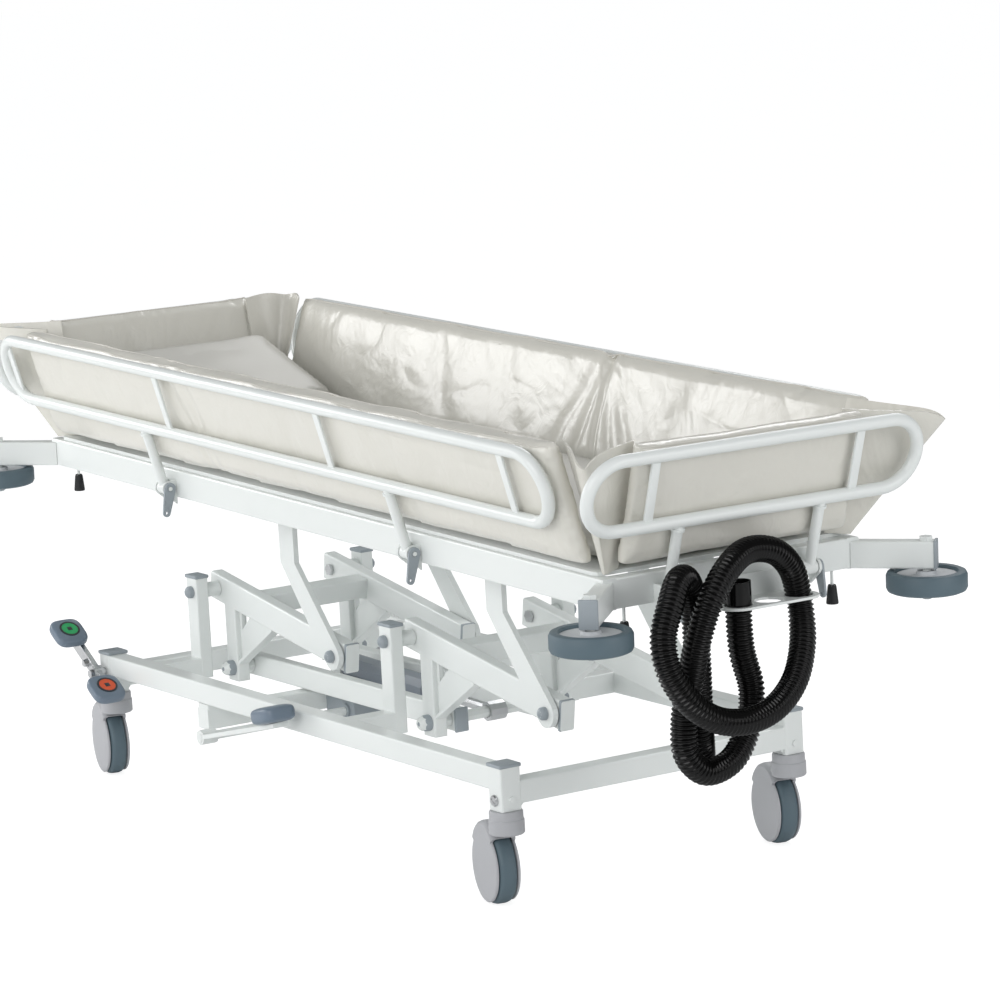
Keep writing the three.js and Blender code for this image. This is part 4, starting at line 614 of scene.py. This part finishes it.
# %%
def slab(half_u, half_v, thick, nu, nv, soften=0.28):
    """A closed slab with rounded edges, u along, v across, w through."""
    around = ([(-1 + 2 * j / nv, 1) for j in range(nv)] + [(1, 1), (1, 0)]
              + [(1 - 2 * j / nv, -1) for j in range(nv)] + [(-1, -1), (-1, 0)])

    def build(bm):
        rings = []
        for i in range(nu + 1):
            u = -1 + 2 * i / nu
            fade = (1 - abs(u) ** 30 * soften)
            rings.append([Vector((u * half_u, v * half_v * (1 - 0.015 * (1 - abs(w))),
                                  w * thick / 2 * fade * (1 - soften * abs(v) ** 10))) for v, w in around])
        join_rings(bm, rings)
    return build


CLOTH_STEPS, PRESSURE, TENSION, BENDING = 14, 3.0, 12, 0.4


def inflate(piece, cap, voxel=0.0065):
    """Cloth pressure on an even mesh, with how far a point may move capped; then one subdivision."""
    bpy.context.view_layer.objects.active = piece
    for item in bpy.context.selected_objects:
        item.select_set(False)
    piece.select_set(True)
    remesh = piece.modifiers.new("remesh", "REMESH")
    remesh.mode = "VOXEL"
    remesh.voxel_size = voxel
    bpy.ops.object.modifier_apply(modifier=remesh.name)
    rest = [v.co.copy() for v in piece.data.vertices]
    cloth = piece.modifiers.new("cloth", "CLOTH")
    cloth.settings.use_pressure = True
    cloth.settings.uniform_pressure_force = PRESSURE
    cloth.settings.effector_weights.gravity = 0
    cloth.settings.quality = 4
    cloth.settings.tension_stiffness = TENSION
    cloth.settings.bending_stiffness = BENDING
    cloth.point_cache.frame_end = CLOTH_STEPS
    for step in range(CLOTH_STEPS):
        bpy.context.scene.frame_set(step + 1)
    settled = piece.evaluated_get(bpy.context.evaluated_depsgraph_get())
    moved = [v.co.copy() for v in settled.to_mesh().vertices]
    settled.to_mesh_clear()
    piece.modifiers.remove(cloth)
    bpy.context.scene.frame_set(1)
    for v, a, b in zip(piece.data.vertices, rest, moved):
        step = b - a
        v.co = a + step * min(1, cap / max(step.length, 1e-9))
    smooth = piece.modifiers.new("smooth", "SUBSURF")
    smooth.levels = 1
    bpy.ops.object.modifier_apply(modifier=smooth.name)
    piece.data.shade_smooth()


print("padding tools ready")

# %% [markdown]
# Folds come after the pressure, which would press them out. The skin moves in and out along its
# normals by a slow noise, with sharper valleys where the noise crosses zero. The creases that show in
# the photo are placed one by one. The folds fade near a panel's top and bottom, where a seam holds it.

# %%
PANEL_T, PANEL_H, PANEL_CROWN, PANEL_LIFT, PANEL_GAP = 34, 212, 7, 8, 0.4
EDGE_HOLD = 0.8


def fold(piece, place, deep, along=9.0, across=3.5, seed=0.0, keep=None, creases=()):
    """Folds up to deep millimetres. A crease is (place along, depth, width, slant) in the slab's frame."""
    back = place.inverted()
    normals = [v.normal.copy() for v in piece.data.vertices]
    for v, outward in zip(piece.data.vertices, normals):
        u, w, t_ = back @ v.co
        shape = noise.noise(Vector((u * along * MM, w * across * MM, t_ * 4 * MM + seed)))
        crease = abs(noise.noise(Vector((u * 5 * MM + seed, w * 9 * MM, seed))))
        amount = deep * (shape - 0.6 * (1 - crease) ** 6)
        for at, depth, width, slant in creases:
            wander = at + slant * w + 9 * noise.noise(Vector((w * 12 * MM, at, 3)))
            amount -= depth * math.exp(-((u - wander) / width) ** 2)
        if keep:
            amount *= keep(u, w, t_)
        else:
            amount *= 1 - EDGE_HOLD * min(1, abs(w) / (PANEL_H / 2)) ** 8
        v.co += outward * amount * MM


print("folds fade over the last", round(PANEL_H / 8), "mm of a panel")

# %% [markdown]
# ## Liner panels
# Four padded panels line the rails and fold down with them, so each rides on its own rail. A thin
# welded hem runs along both top edges. It is laid on the folded skin itself, point by point, so it
# follows every fold without floating off.

# %%
PANELS = {"near": (880, -LONG_SHIFT), "far": (880, LONG_SHIFT), "foot": (220, 0), "head": (220, 0)}
CREASES = {
    "far": [(-178, 7, 9, 0.05), (-150, 4, 12, -0.3), (-205, 3.5, 14, 0.35), (-110, 2.5, 16, -0.5),
            (-240, 2.5, 18, 0.6), (95, 2, 30, 0.5), (-420, 2, 34, -0.4), (330, 2, 26, 0.5)],
    "near": [(-300, 4, 14, -0.45), (-255, 3, 12, -0.25), (-345, 2.5, 18, -0.6), (60, 2, 26, 0.3),
             (380, 2, 30, -0.4)],
    "head": [(40, 2, 22, 0.3), (-120, 1.5, 22, -0.3)], "foot": [(-60, 1.5, 26, 0.2)]}
HEM_R, HEM_IN, HEM_STEPS = 1.5, 9, 60


def hem_builder(panel, place, half):
    back = place.inverted()

    def build(bm):
        for s in (-1, 1):
            line = [place @ Vector((-half + HEM_IN + 2 * (half - HEM_IN) * i / HEM_STEPS, PANEL_H / 2,
                                    s * PANEL_T / 2)) for i in range(HEM_STEPS + 1)]
            tube(bm, [back @ panel.closest_point_on_mesh(p)[1] for p in line], HEM_R, 8)
    return build


for name, (half, shift) in PANELS.items():
    inset = RAIL_R + PANEL_GAP + PANEL_T / 2 + PANEL_CROWN / 2
    mid = PIN_DROP + PANEL_LIFT + PANEL_H / 2
    place = (side_place(name) @ Matrix.Translation((shift, inset, mid))
             @ Matrix.Rotation(math.pi / 2, 4, "X"))
    panel = make(f"liner_panel_{name}", None, LINER, slab(half - 3, PANEL_H / 2 - 3, PANEL_T - 3, 40, 8),
                 place=place)
    inflate(panel, 0.0045)
    fold(panel, place, 2.0, seed=3.7 * len(name) + half * 0.01, creases=CREASES[name])
    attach(panel, f"rail_{name}")
    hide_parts(f"panel_{name}")
    hem = make(f"liner_hem_{name}", f"rail_{name}", HEM, hem_builder(panel, place, half), place=place)
    print(panel.name, len(panel.data.polygons), "faces")

# %% [markdown]
# ## Mattress and pillow
# The mattress lies flat on the pan, so its folds keep to its top and its underside is pressed level.
# The pillow is a low wedge at the head end, drawn as one outline carried across the trolley.

# %%
MATTRESS_X, MATTRESS_Y, MATTRESS_H, MATTRESS_CROWN, PAN_T = 884, 204, 46, 8, 6
half_thick = (MATTRESS_H + MATTRESS_CROWN / 2) / 2
for_mattress = TOP @ Matrix.Translation((0, 0, FRAME_TOP + 0.6 + PAN_T + half_thick))
mattress = make("mattress_pad", None, PAD, slab(MATTRESS_X - 4, MATTRESS_Y - 4, MATTRESS_H - 2, 40, 10),
                place=for_mattress)
inflate(mattress, 0.005, voxel=0.010)
fold(mattress, for_mattress, 1.6, along=6.0, across=6.0, seed=9.1, keep=lambda u, v, w: 1.0 if w > 0 else 0.0)
for v in mattress.data.vertices:
    local = for_mattress.inverted() @ v.co
    if local.z < -half_thick:
        local.z = -half_thick
        v.co = for_mattress @ local
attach(mattress, "deck")
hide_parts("mattress")
print(mattress.name, len(mattress.data.polygons), "faces")

# %%
PILLOW_L, PILLOW_H, PILLOW_Y, COVER = 270, 105, 196, 4
PILLOW_X = -MATTRESS_X + 18
PILLOW_Z = FRAME_TOP + 0.9 + PAN_T + MATTRESS_H + MATTRESS_CROWN / 2
WEDGE = [(0, 0), (0.5, 0), (1, 0), (1, 0.07), (1, 0.14), (0.75, 0.37), (0.5, 0.58), (0.25, 0.80), (0.04, 0.99),
         (0, 0.97), (0, 0.5)]


def pillow_builder(bm):
    rings = []
    for i in range(25):
        v = -1 + 2 * i / 24
        soft = 1 - 0.06 * abs(v) ** 12
        rings.append([Vector((PILLOW_X + COVER + a * (PILLOW_L - 2 * COVER) * soft, v * (PILLOW_Y - COVER),
                              PILLOW_Z + COVER + b * (PILLOW_H - 2 * COVER) * soft)) for a, b in WEDGE])
    join_rings(bm, rings)


pillow = make("wedge_pillow", None, PAD, pillow_builder, place=TOP)
inflate(pillow, 0.003, voxel=0.006)
fold(pillow, TOP, 0.8, along=10.0, across=10.0, seed=21.0)
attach(pillow, "deck")
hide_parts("pillow")
print(pillow.name, len(pillow.data.polygons), "faces")

# %% [markdown]
# ## Corner ears
# At each corner one sheet joins two panels and folds outwards, so water stays in. Row by row it is a
# curve from one panel to the other that is pulled out to a tip, more the higher it is, with a ripple
# that dies away at both panels. Its weight sets how sharply it turns at the tip. The four tips differ,
# because each corner of the real liner has fallen its own way.

# %%
SHEET_T, EAR_ROWS, EAR_COLUMNS = 3.0, 16, 28
RISE = PANEL_H - 8
EAR_LOW, EAR_JOIN_LOW, EAR_TOP = FRAME_TOP + 2.5, FRAME_TOP + 8.5, FRAME_TOP + RISE + 10
LONG_LOW, SHORT_LOW, LONG_TOP, SHORT_TOP = (858, 213), (886.5, 199), (858, 273), (941, 199)
TIP_LOW = (910, 246)
EAR_TIPS = {("foot", "near"): ((964, -324, 765), 2.2, 8), ("foot", "far"): ((990, 411, 764), 4.5, 5),
            ("head", "far"): ((-952, 326, 806), 1.1, 3), ("head", "near"): ((-1075, -338, 786), 4.5, 5)}


def ear_builder(e, s, tip, weight, wave):
    def corner(xy, z):
        return Vector((e * xy[0], s * xy[1], z))

    def build(bm):
        out = Vector((e, s, 0)).normalized()
        grid = []
        for j in range(EAR_ROWS + 1):
            q = j / EAR_ROWS
            a = corner(LONG_LOW, EAR_JOIN_LOW).lerp(corner(LONG_TOP, EAR_TOP), q)
            b = corner(SHORT_LOW, EAR_JOIN_LOW).lerp(corner(SHORT_TOP, EAR_TOP), q)
            c = corner(TIP_LOW, EAR_LOW).lerp(Vector(tip), q ** 1.15)
            line = []
            for i in range(EAR_COLUMNS + 1):
                r = i / EAR_COLUMNS
                wa, wc, wb = (1 - r) ** 2, 2 * r * (1 - r) * weight, r * r
                point = (wa * a + wc * c + wb * b) / (wa + wc + wb)
                ripple = wave * q * math.sin(5 * math.pi * r) * math.sin(math.pi * r) * (1.2 - q)
                point += Vector((-out.y, out.x, 0)) * ripple
                point += Vector((0, 0, wave * q * math.sin(3 * math.pi * r)))
                line.append(bm.verts.new(point))
            grid.append(line)
        for upper, lower in zip(grid, grid[1:]):
            for i in range(EAR_COLUMNS):
                bm.faces.new((upper[i], upper[i + 1], lower[i + 1], lower[i]))
        bmesh.ops.recalc_face_normals(bm, faces=bm.faces)
        bmesh.ops.solidify(bm, geom=bm.faces[:], thickness=SHEET_T)
    return build


for (en, sn), (tip, weight, wave) in EAR_TIPS.items():
    e, s = (1 if en == "foot" else -1), (1 if sn == "far" else -1)
    ear = make(f"corner_ear_{en}_{sn}", "deck", LINER, ear_builder(e, s, tip, weight, wave), place=TOP,
               seam=1.2)
    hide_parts(f"liner_ear_{en}_{sn}")

# %% [markdown]
# ## Castors
# The tyre and its hub are two turned rings in one piece. The cover is a disc on each side and a hood
# over the top of the wheel, and turns with the swivel. The hood follows the wheel for a quarter turn,
# so its cross-section is carried round by angle.

# %%
POST_X, POST_Y, WHEEL_R, WHEEL_W, TRAIL = 657, 280, 62.5, 30, 60
TRAIL_TURN = math.radians(167)
HALF_W = WHEEL_W / 2
TYRE = [(44, -HALF_W + 4), (46, -HALF_W + 0.5), (53, -HALF_W), (58, -HALF_W + 1), (61, -HALF_W + 4),
        (62.4, -HALF_W + 9), (62.5, 0), (62.4, HALF_W - 9), (61, HALF_W - 4), (58, HALF_W - 1), (53, HALF_W),
        (46, HALF_W - 0.5), (44, HALF_W - 4)]
HUB_RING = [(8, -HALF_W + 3), (44.5, -HALF_W + 4), (44.5, HALF_W - 4), (8, HALF_W - 3)]
WHEEL_AT = (TRAIL, 0, WHEEL_R)


def castor_place(e, s):
    return LEVEL @ Matrix.Translation((e * POST_X, s * POST_Y, 0)) @ Matrix.Rotation(TRAIL_TURN, 4, "Z")


def wheel_builder(bm):
    lathe(bm, TYRE, WHEEL_AT, (0, 1, 0), 72, slot=0, hollow=True)
    lathe(bm, HUB_RING, WHEEL_AT, (0, 1, 0), 48, slot=1, hollow=True)


print("tyre", 2 * WHEEL_R, "mm across,", WHEEL_W, "mm wide")

# %%
DISC = [(0, 0), (57, 0), (58.5, 1), (58.5, 3), (57, 4.6), (52, 5.6), (30, 6.4), (0, 6.6)]
STEM = [(0, 127), (27, 127), (29, 129), (29, 150), (27.5, 152), (27.5, 163), (26, 165.5), (0, 165.5)]
NECK_AT, NECK = (8, 0, 133), (50, 43, 12)
HOOD_FROM, HOOD_TO, HOOD_STEPS, HOOD_HALF = math.radians(38), math.radians(128), 24, HALF_W + 1


def hood_builder(bm):
    lathe(bm, STEM, (0, 0, 0), (0, 0, 1), 40)
    for s in (-1, 1):
        lathe(bm, [(r, HOOD_HALF + h) for r, h in DISC], WHEEL_AT, (0, s, 0), 64)
    rings = []
    for i in range(HOOD_STEPS + 1):
        share = i / HOOD_STEPS
        inner, outer = WHEEL_R + 3, WHEEL_R + 5 + 7 * math.sin(math.pi * share)
        h = HOOD_HALF + 5.5
        section = [(50, -h), (outer - 5, -h), (outer - 1.5, -h + 3.5), (outer, -h + 9), (outer, h - 9),
                   (outer - 1.5, h - 3.5), (outer - 5, h), (50, h), (50, HOOD_HALF), (inner - 3, HOOD_HALF),
                   (inner, HOOD_HALF - 4), (inner, -HOOD_HALF + 4), (inner - 3, -HOOD_HALF), (50, -HOOD_HALF)]
        angle = HOOD_FROM + (HOOD_TO - HOOD_FROM) * share
        rings.append([Vector((TRAIL + r * math.cos(angle), y, WHEEL_R + r * math.sin(angle)))
                      for r, y in section])
    join_rings(bm, rings)
    block(bm, NECK_AT, NECK, bevel=5)


CORNERS = [(e, s, f"{en}_{sn}") for e, en in ((-1, "head"), (1, "foot"))
           for s, sn in ((-1, "near"), (1, "far"))]
for e, s, tag in CORNERS:
    wheel = make(f"castor_tyre_{tag}", f"wheel_{tag}", [TREAD, HUB], wheel_builder, place=castor_place(e, s))
    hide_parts(f"castor_wheel_{tag}")
    hood = make(f"castor_cover_{tag}", f"castor_{tag}", [PALE, GREY], hood_builder, place=castor_place(e, s))
    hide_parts(f"castor_hood_{tag}")
print("castors", len(CORNERS))

# %% [markdown]
# ## Bumper wheels
# A flat wheel at each corner rolls along a wall. It lies under a diagonal arm, so its place is the
# frame's corner moved out by the arm's length.

# %%
BUMPER_OUT = 107 / math.sqrt(2)
BUMPER_Z = FRAME_TOP - FRAME_H - 4 - 34
BUMPER_TYRE = [(48, 5), (51, 1), (58, 0), (62.5, 2), (65, 7), (65, 27), (62.5, 32), (58, 34), (51, 33),
               (48, 29)]
BUMPER_HUB = [(9, 6), (48.5, 6), (48.5, 28), (40, 28), (30, 26), (17, 28), (15, 33.5), (9, 33.5)]


def bumper_builder(e, s):
    def build(bm):
        at = (e * (FRAME_X + BUMPER_OUT), s * (FRAME_Y + BUMPER_OUT), BUMPER_Z)
        lathe(bm, BUMPER_TYRE, at, (0, 0, 1), 72, slot=0, hollow=True)
        lathe(bm, BUMPER_HUB, at, (0, 0, 1), 48, slot=1, hollow=True)
    return build


for e, s, tag in CORNERS:
    wheel = make(f"bumper_tyre_{tag}", f"bumper_{tag}", [TREAD, HUB], bumper_builder(e, s), place=TOP)
    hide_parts(f"bumper_wheel_{tag}")
print("bumpers", len(CORNERS))

# %% [markdown]
# ## Pedals
# A pedal pad is between a box and an egg. Raising a sphere's coordinates to a power below one gives
# that shape with no seams. The rocker has a pad at each end, with a green or a red disc let into it,
# and the pump has one of its own.

# %%
ROCKER_DEG, ROCKER_Y, ROCKER_Z, ROCKER_H = math.radians(32.5), -316, 205, 22
ROCKER_PAD, PUMP_PAD_SIZE, ROCKER_IN = (64, 62, 22), (76, 62, 30), 0.3
PAD_SQUARE, PAD_FLAT = 2 / 3.6, 0.5
DISC_RING = [(15.5, 0), (19, 0), (19, 1.2), (15.5, 1.4)]
DISC_FACE = [(0, 0), (15.4, 0), (15.4, 0.9), (0, 1.1)]


def pad_builder(length, width, thick):
    def squared(value, power, size):
        return math.copysign(abs(value) ** power, value) * size / 2

    def build(bm):
        for v in bmesh.ops.create_uvsphere(bm, u_segments=48, v_segments=24, radius=1)["verts"]:
            x, y, z = v.co
            v.co = Vector((squared(x, PAD_SQUARE, length), squared(y, PAD_SQUARE, width),
                           squared(z, PAD_FLAT, thick) + thick / 2))
    return build


def disc_builder(bm):
    lathe(bm, DISC_RING, (0, 0, 21.7), (0, 0, 1), 40, slot=1, hollow=True)
    lathe(bm, DISC_FACE, (0, 0, 21.6), (0, 0, 1), 40, slot=0)
    block(bm, (0, 0, 22.7), (9, 9, 0.8), bevel=0.3, slot=1)


def rocker_place(d, up_by):
    """A place on the rocker, d along it from its pivot and up_by above it."""
    x = -POST_X + d * math.cos(ROCKER_DEG) + up_by * math.sin(ROCKER_DEG)
    z = ROCKER_Z - d * math.sin(ROCKER_DEG) + up_by * math.cos(ROCKER_DEG)
    return (LEVEL @ Matrix.Translation((x, ROCKER_Y - ROCKER_IN * ROCKER_PAD[0], z))
            @ Matrix.Rotation(ROCKER_DEG, 4, "Y"))


for d, label, colour in ((-92, "green", GREEN), (68, "red", RED)):
    place = rocker_place(d, ROCKER_H / 2 + 0.3)
    pad = make(f"rocker_pad_{label}", "rocker", BLUE, pad_builder(*ROCKER_PAD), place=place)
    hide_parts(f"brake_pad_{label}")
    disc = make(f"rocker_disc_{label}", "rocker", [colour, DARK], disc_builder, place=place)
    print(pad.name, "at", [round(c, 3) for c in place.translation])

# %%
PUMP_SHAFT, PUMP_PAD, PUMP_PAD_Y, PUMP_SINK, PUMP_CLEAR = (-205, 160), (35, 232), -340, 16, 4.3
slope = math.atan2(PUMP_PAD[1] - PUMP_SINK - PUMP_SHAFT[1], PUMP_PAD[0] - PUMP_SHAFT[0])
pump_place = (LEVEL @ Matrix.Translation((PUMP_PAD[0], PUMP_PAD_Y,
                                          PUMP_PAD[1] - PUMP_SINK + PUMP_CLEAR / math.cos(slope)))
              @ Matrix.Rotation(-slope, 4, "Y"))
pump = make("pump_foot_pad", "pump_lever", BLUE, pad_builder(*PUMP_PAD_SIZE), place=pump_place)
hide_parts("pump_pad")
print(pump.name, "slopes", round(math.degrees(slope), 1), "degrees")

# %% [markdown]
# ## Pivots, caps and screws
# Moulded caps close the open tube ends, and a nut covers each pivot bolt. Everything sits on the place
# that the CAD gives it. The caps of each body are one piece, and each size of nut on a body is one piece.

# %%
ARM, ARM_END, ARM_DEG, LEG = 425, 448.2, math.radians(-9.1), (38, -143)
PIVOTS = {"head": -510, "foot": 161}
PIVOT_Z, ARM_Y, BRACKET_OUT_Y = 356, 120.5, 147
SMALL_NUT = {"Radius": 11 * MM, "Height": 14.2 * MM, "Material": GREY}
LARGE_NUT = {"Radius": 14 * MM, "Height": 23.6 * MM, "Material": GREY}


def nuts(name, body, sizes, places):
    """Dome nuts facing outwards, from (x, y, z) in millimetres on the far side and their mirror places."""
    spots = [Vector((x, s * y, z)) * MM for x, y, z in places for s in (-1, 1)]
    return grown(name, body, nut_tree, sizes, spots, joined=False,
                 facing=[(0, math.copysign(1, p.y), 0) for p in spots])


nuts("pivot_nuts", "base", SMALL_NUT, [(x, 188.3, PIVOT_Z) for x in PIVOTS.values()])

# %%
POST_CAP, PIVOT_CAP, CAP_BEVEL = (41, 41, 6.2), (41, 28, 6.2), 1.8
SCREW, SLOT_CUT = [(0, 0), (9.4, 0), (9.4, 2.6), (8, 4.6), (3, 5.6), (0, 5.8)], (13, 0.8, 1.8)


def caps_base(bm):
    for s in (-1, 1):
        for e in (-1, 1):
            block(bm, (e * POST_X, s * POST_Y, 239.4), POST_CAP, bevel=CAP_BEVEL)
        for x in PIVOTS.values():
            block(bm, (x, s * 175.5, 384.2), PIVOT_CAP, bevel=CAP_BEVEL)


def screws(bm):
    for e, s, _ in CORNERS:
        lathe(bm, SCREW, (e * POST_X, s * 299, 183.5), (0, s, 0), 32)
        block(bm, (e * POST_X, s * 305, 183.5), SLOT_CUT, turn=Matrix.Rotation(0.6, 3, "Y"), bevel=0.2)


make("post_caps", "base", GREY, caps_base)
make("post_screws", "base", STEEL, screws)
print("base caps and screws made")

# %% [markdown]
# A pivot bolt is a hexagon head inside, a shank through the arm and the post, and a white spacer
# between them. It replaces the CAD's plain pin.

# %%
SPACER, SHANK = [(0, 0), (13.5, 0), (13.5, 29), (0, 29)], [(0, 0), (6.9, 0), (6.9, 82), (0, 82)]
BOLT_HEAD = [(0, 0), (11, 0), (11, 6), (0, 6)]


def pin_builder(x, s):
    def build(bm):
        lathe(bm, SPACER, (x, s * 133.9, PIVOT_Z), (0, s, 0), 32, slot=1)
        lathe(bm, SHANK, (x, s * 106.6, PIVOT_Z), (0, s, 0), 24, slot=0)
        lathe(bm, BOLT_HEAD, (x, s * 107, PIVOT_Z), (0, -s, 0), 6, slot=0)
    return build


for end, x in PIVOTS.items():
    for s, sn in ((-1, "near"), (1, "far")):
        pin = make(f"pivot_bolt_{end}_{sn}", "base", [STEEL, WHITE], pin_builder(x, s))
        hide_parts(f"pivot_pin_{end}_{sn}")
print("pivot bolts", 2 * len(PIVOTS))

# %%
ARM_CAP, TIE_CAP, ARM_CAP_BEVEL = (7, 27.4, 52.4), (6, 26, 42), 1.6


def arm_place(x, along):
    """A place along a crank's arm, from its pivot at x."""
    return x + along * math.cos(ARM_DEG), PIVOT_Z + along * math.sin(ARM_DEG)


def arm_caps_builder(x):
    def build(bm):
        tx, tz = arm_place(x, ARM_END)
        for s in (-1, 1):
            block(bm, (tx, s * ARM_Y, tz), ARM_CAP, turn=Matrix.Rotation(-ARM_DEG, 3, "Y"),
                  bevel=ARM_CAP_BEVEL)
    return build


def caps_ties(bm):
    for s in (-1, 1):
        for x in (-493.2, 220.2):
            block(bm, (x, s * 81.5, 213), TIE_CAP, bevel=ARM_CAP_BEVEL)


for end, x in PIVOTS.items():
    ax, az = arm_place(x, ARM)
    make(f"crank_caps_{end}", f"{end}_crank", GREY, arm_caps_builder(x))
    nuts(f"arm_nuts_{end}", f"{end}_crank", SMALL_NUT, [(ax, BRACKET_OUT_Y + 0.4, az)])
    nuts(f"leg_nuts_{end}", f"{end}_crank", LARGE_NUT, [(x + LEG[0], 132.4, PIVOT_Z + LEG[1])])
make("tie_bar_caps", "tie_bars", GREY, caps_ties)
print("lift caps made")

# %% [markdown]
# Under each corner of the top a rubber stop meets the base when the top is down. The bumper's bolt and
# the end of its arm are capped as well. All of these move with the top.

# %%
STOP = [(0, 0), (9.6, 0), (10, 2), (7.2, 28), (6, 31), (0, 31)]
BOLT_CAP, BOLT_CAP_Z = [(0, 0), (12, 0), (12, 3), (11, 9), (6, 12.6), (0, 13.2)], 497.8
STOP_IN, STOP_Z = (12.5, 46), FRAME_TOP - FRAME_H - 54.4
ARM_TIP_CAP, ARM_TIP_OUT, ARM_TIP_Z = (5, 30.4, 46.4), 15.4, FRAME_TOP - FRAME_H + 22


def stops(bm):
    for e, s, _ in CORNERS:
        lathe(bm, STOP, (e * (FRAME_X - STOP_IN[0]), s * (FRAME_Y - STOP_IN[1]), STOP_Z), (0, 0, 1), 28,
              slot=0)
        bx, by = e * (FRAME_X + BUMPER_OUT), s * (FRAME_Y + BUMPER_OUT)
        lathe(bm, BOLT_CAP, (bx, by, BOLT_CAP_Z), (0, 0, -1), 28, slot=1)
        out = Vector((e, s, 0)).normalized() * ARM_TIP_OUT
        block(bm, (bx + out.x, by + out.y, ARM_TIP_Z), ARM_TIP_CAP,
              turn=Matrix.Rotation(math.atan2(s, e), 3, "Z"), bevel=ARM_CAP_BEVEL, slot=1)


make("corner_stops_and_caps", "deck", [RUBBER, GREY], stops, place=TOP)
print("stops made")

# %% [markdown]
# ## Floor and surround
# The photo's background is white without more light on the trolley. The floor is lit as usual, which
# keeps the shadow, and a glow is mixed in for the camera alone. The world does the same: white to the
# camera, dimmer as light, and dimmer still in reflections, so gloss and steel show some contrast.

# %%
FLOOR_HALF, FLOOR_GLOW, GLOW_SHARE = 30, 1.42, 0.6
WORLD_SEEN, WORLD_LIT, WORLD_MIRRORED = 1.0, 0.46, 0.16
floor_mesh = bpy.data.meshes.new("floor")
floor_mesh.from_pydata([(x * FLOOR_HALF, y * FLOOR_HALF, 0) for x, y in ((-1, -1), (1, -1), (1, 1), (-1, 1))],
                       [], [(0, 1, 2, 3)])
floor = bpy.data.objects.new("floor", floor_mesh)
bpy.context.collection.objects.link(floor)
pale_floor = material("floor", (0.93, 0.93, 0.93), 0.6, dark=0.99, bump=0.0)
t = pale_floor.node_tree
glow = node(t, "ShaderNodeEmission", Strength=FLOOR_GLOW)
share = maths(t, "MULTIPLY", node(t, "ShaderNodeLightPath").outputs["Is Camera Ray"], GLOW_SHARE)
blend = node(t, "ShaderNodeMixShader", {0: share, 1: t.nodes["Principled BSDF"].outputs[0],
                                        2: glow.outputs[0]})
t.links.new(blend.outputs[0], t.nodes["Material Output"].inputs[0])
floor_mesh.materials.append(pale_floor)
print("floor", 2 * FLOOR_HALF, "m square")

# %%
world = bpy.data.worlds.new("studio")
bpy.context.scene.world = world
world.use_nodes = True
t = world.node_tree
t.nodes.clear()
seen = node(t, "ShaderNodeBackground", Color=(1, 1, 1, 1), Strength=WORLD_SEEN)
lit = node(t, "ShaderNodeBackground", Color=(0.96, 0.98, 1, 1), Strength=WORLD_LIT)
mirrored = node(t, "ShaderNodeBackground", Strength=WORLD_MIRRORED)
path = node(t, "ShaderNodeLightPath")
first = node(t, "ShaderNodeMixShader", {0: path.outputs["Is Glossy Ray"], 1: lit.outputs[0],
                                        2: mirrored.outputs[0]})
choose = node(t, "ShaderNodeMixShader", {0: path.outputs["Is Camera Ray"], 1: first.outputs[0],
                                         2: seen.outputs[0]})
node(t, "ShaderNodeOutputWorld", {"Surface": choose.outputs[0]})
print("world light", WORLD_LIT)

# %% [markdown]
# ## Lamps
# Large soft boxes stand round the trolley as in a studio. The glint lamp is the one that draws the
# bright folds on the far panel, and the back lamp lights the rails' upper edges.

# %%
SOFT_BOXES = [("key", (1.8, -3.6, 1.9), (0, 0, 0.5), (3.2, 1.8), 60),
              ("side", (-1.8, -3.2, 1.2), (-0.4, 0, 0.6), (1.8, 1.4), 22),
              ("glint", (-2.7, -1.6, 1.4), (0.2, 0.29, 0.7), (1.3, 0.8), 22),
              ("fill", (3.8, 1.2, 1.4), (0.2, 0, 0.5), (2.0, 1.6), 30),
              ("back", (-1.4, 2.6, 3.0), (0, 0, 0.7), (3.4, 0.7), 46)]
for name, spot, target, size, watts in SOFT_BOXES:
    data = bpy.data.lights.new(name, "AREA")
    data.shape = "RECTANGLE"
    data.size, data.size_y = size
    data.energy = watts
    lamp = bpy.data.objects.new(name, data)
    bpy.context.collection.objects.link(lamp)
    lamp.location = spot
    lamp.rotation_euler = (Vector(target) - Vector(spot)).to_track_quat("-Z", "Y").to_euler()
bpy.context.scene.view_settings.view_transform = "Standard"
print("lamps", len(SOFT_BOXES))
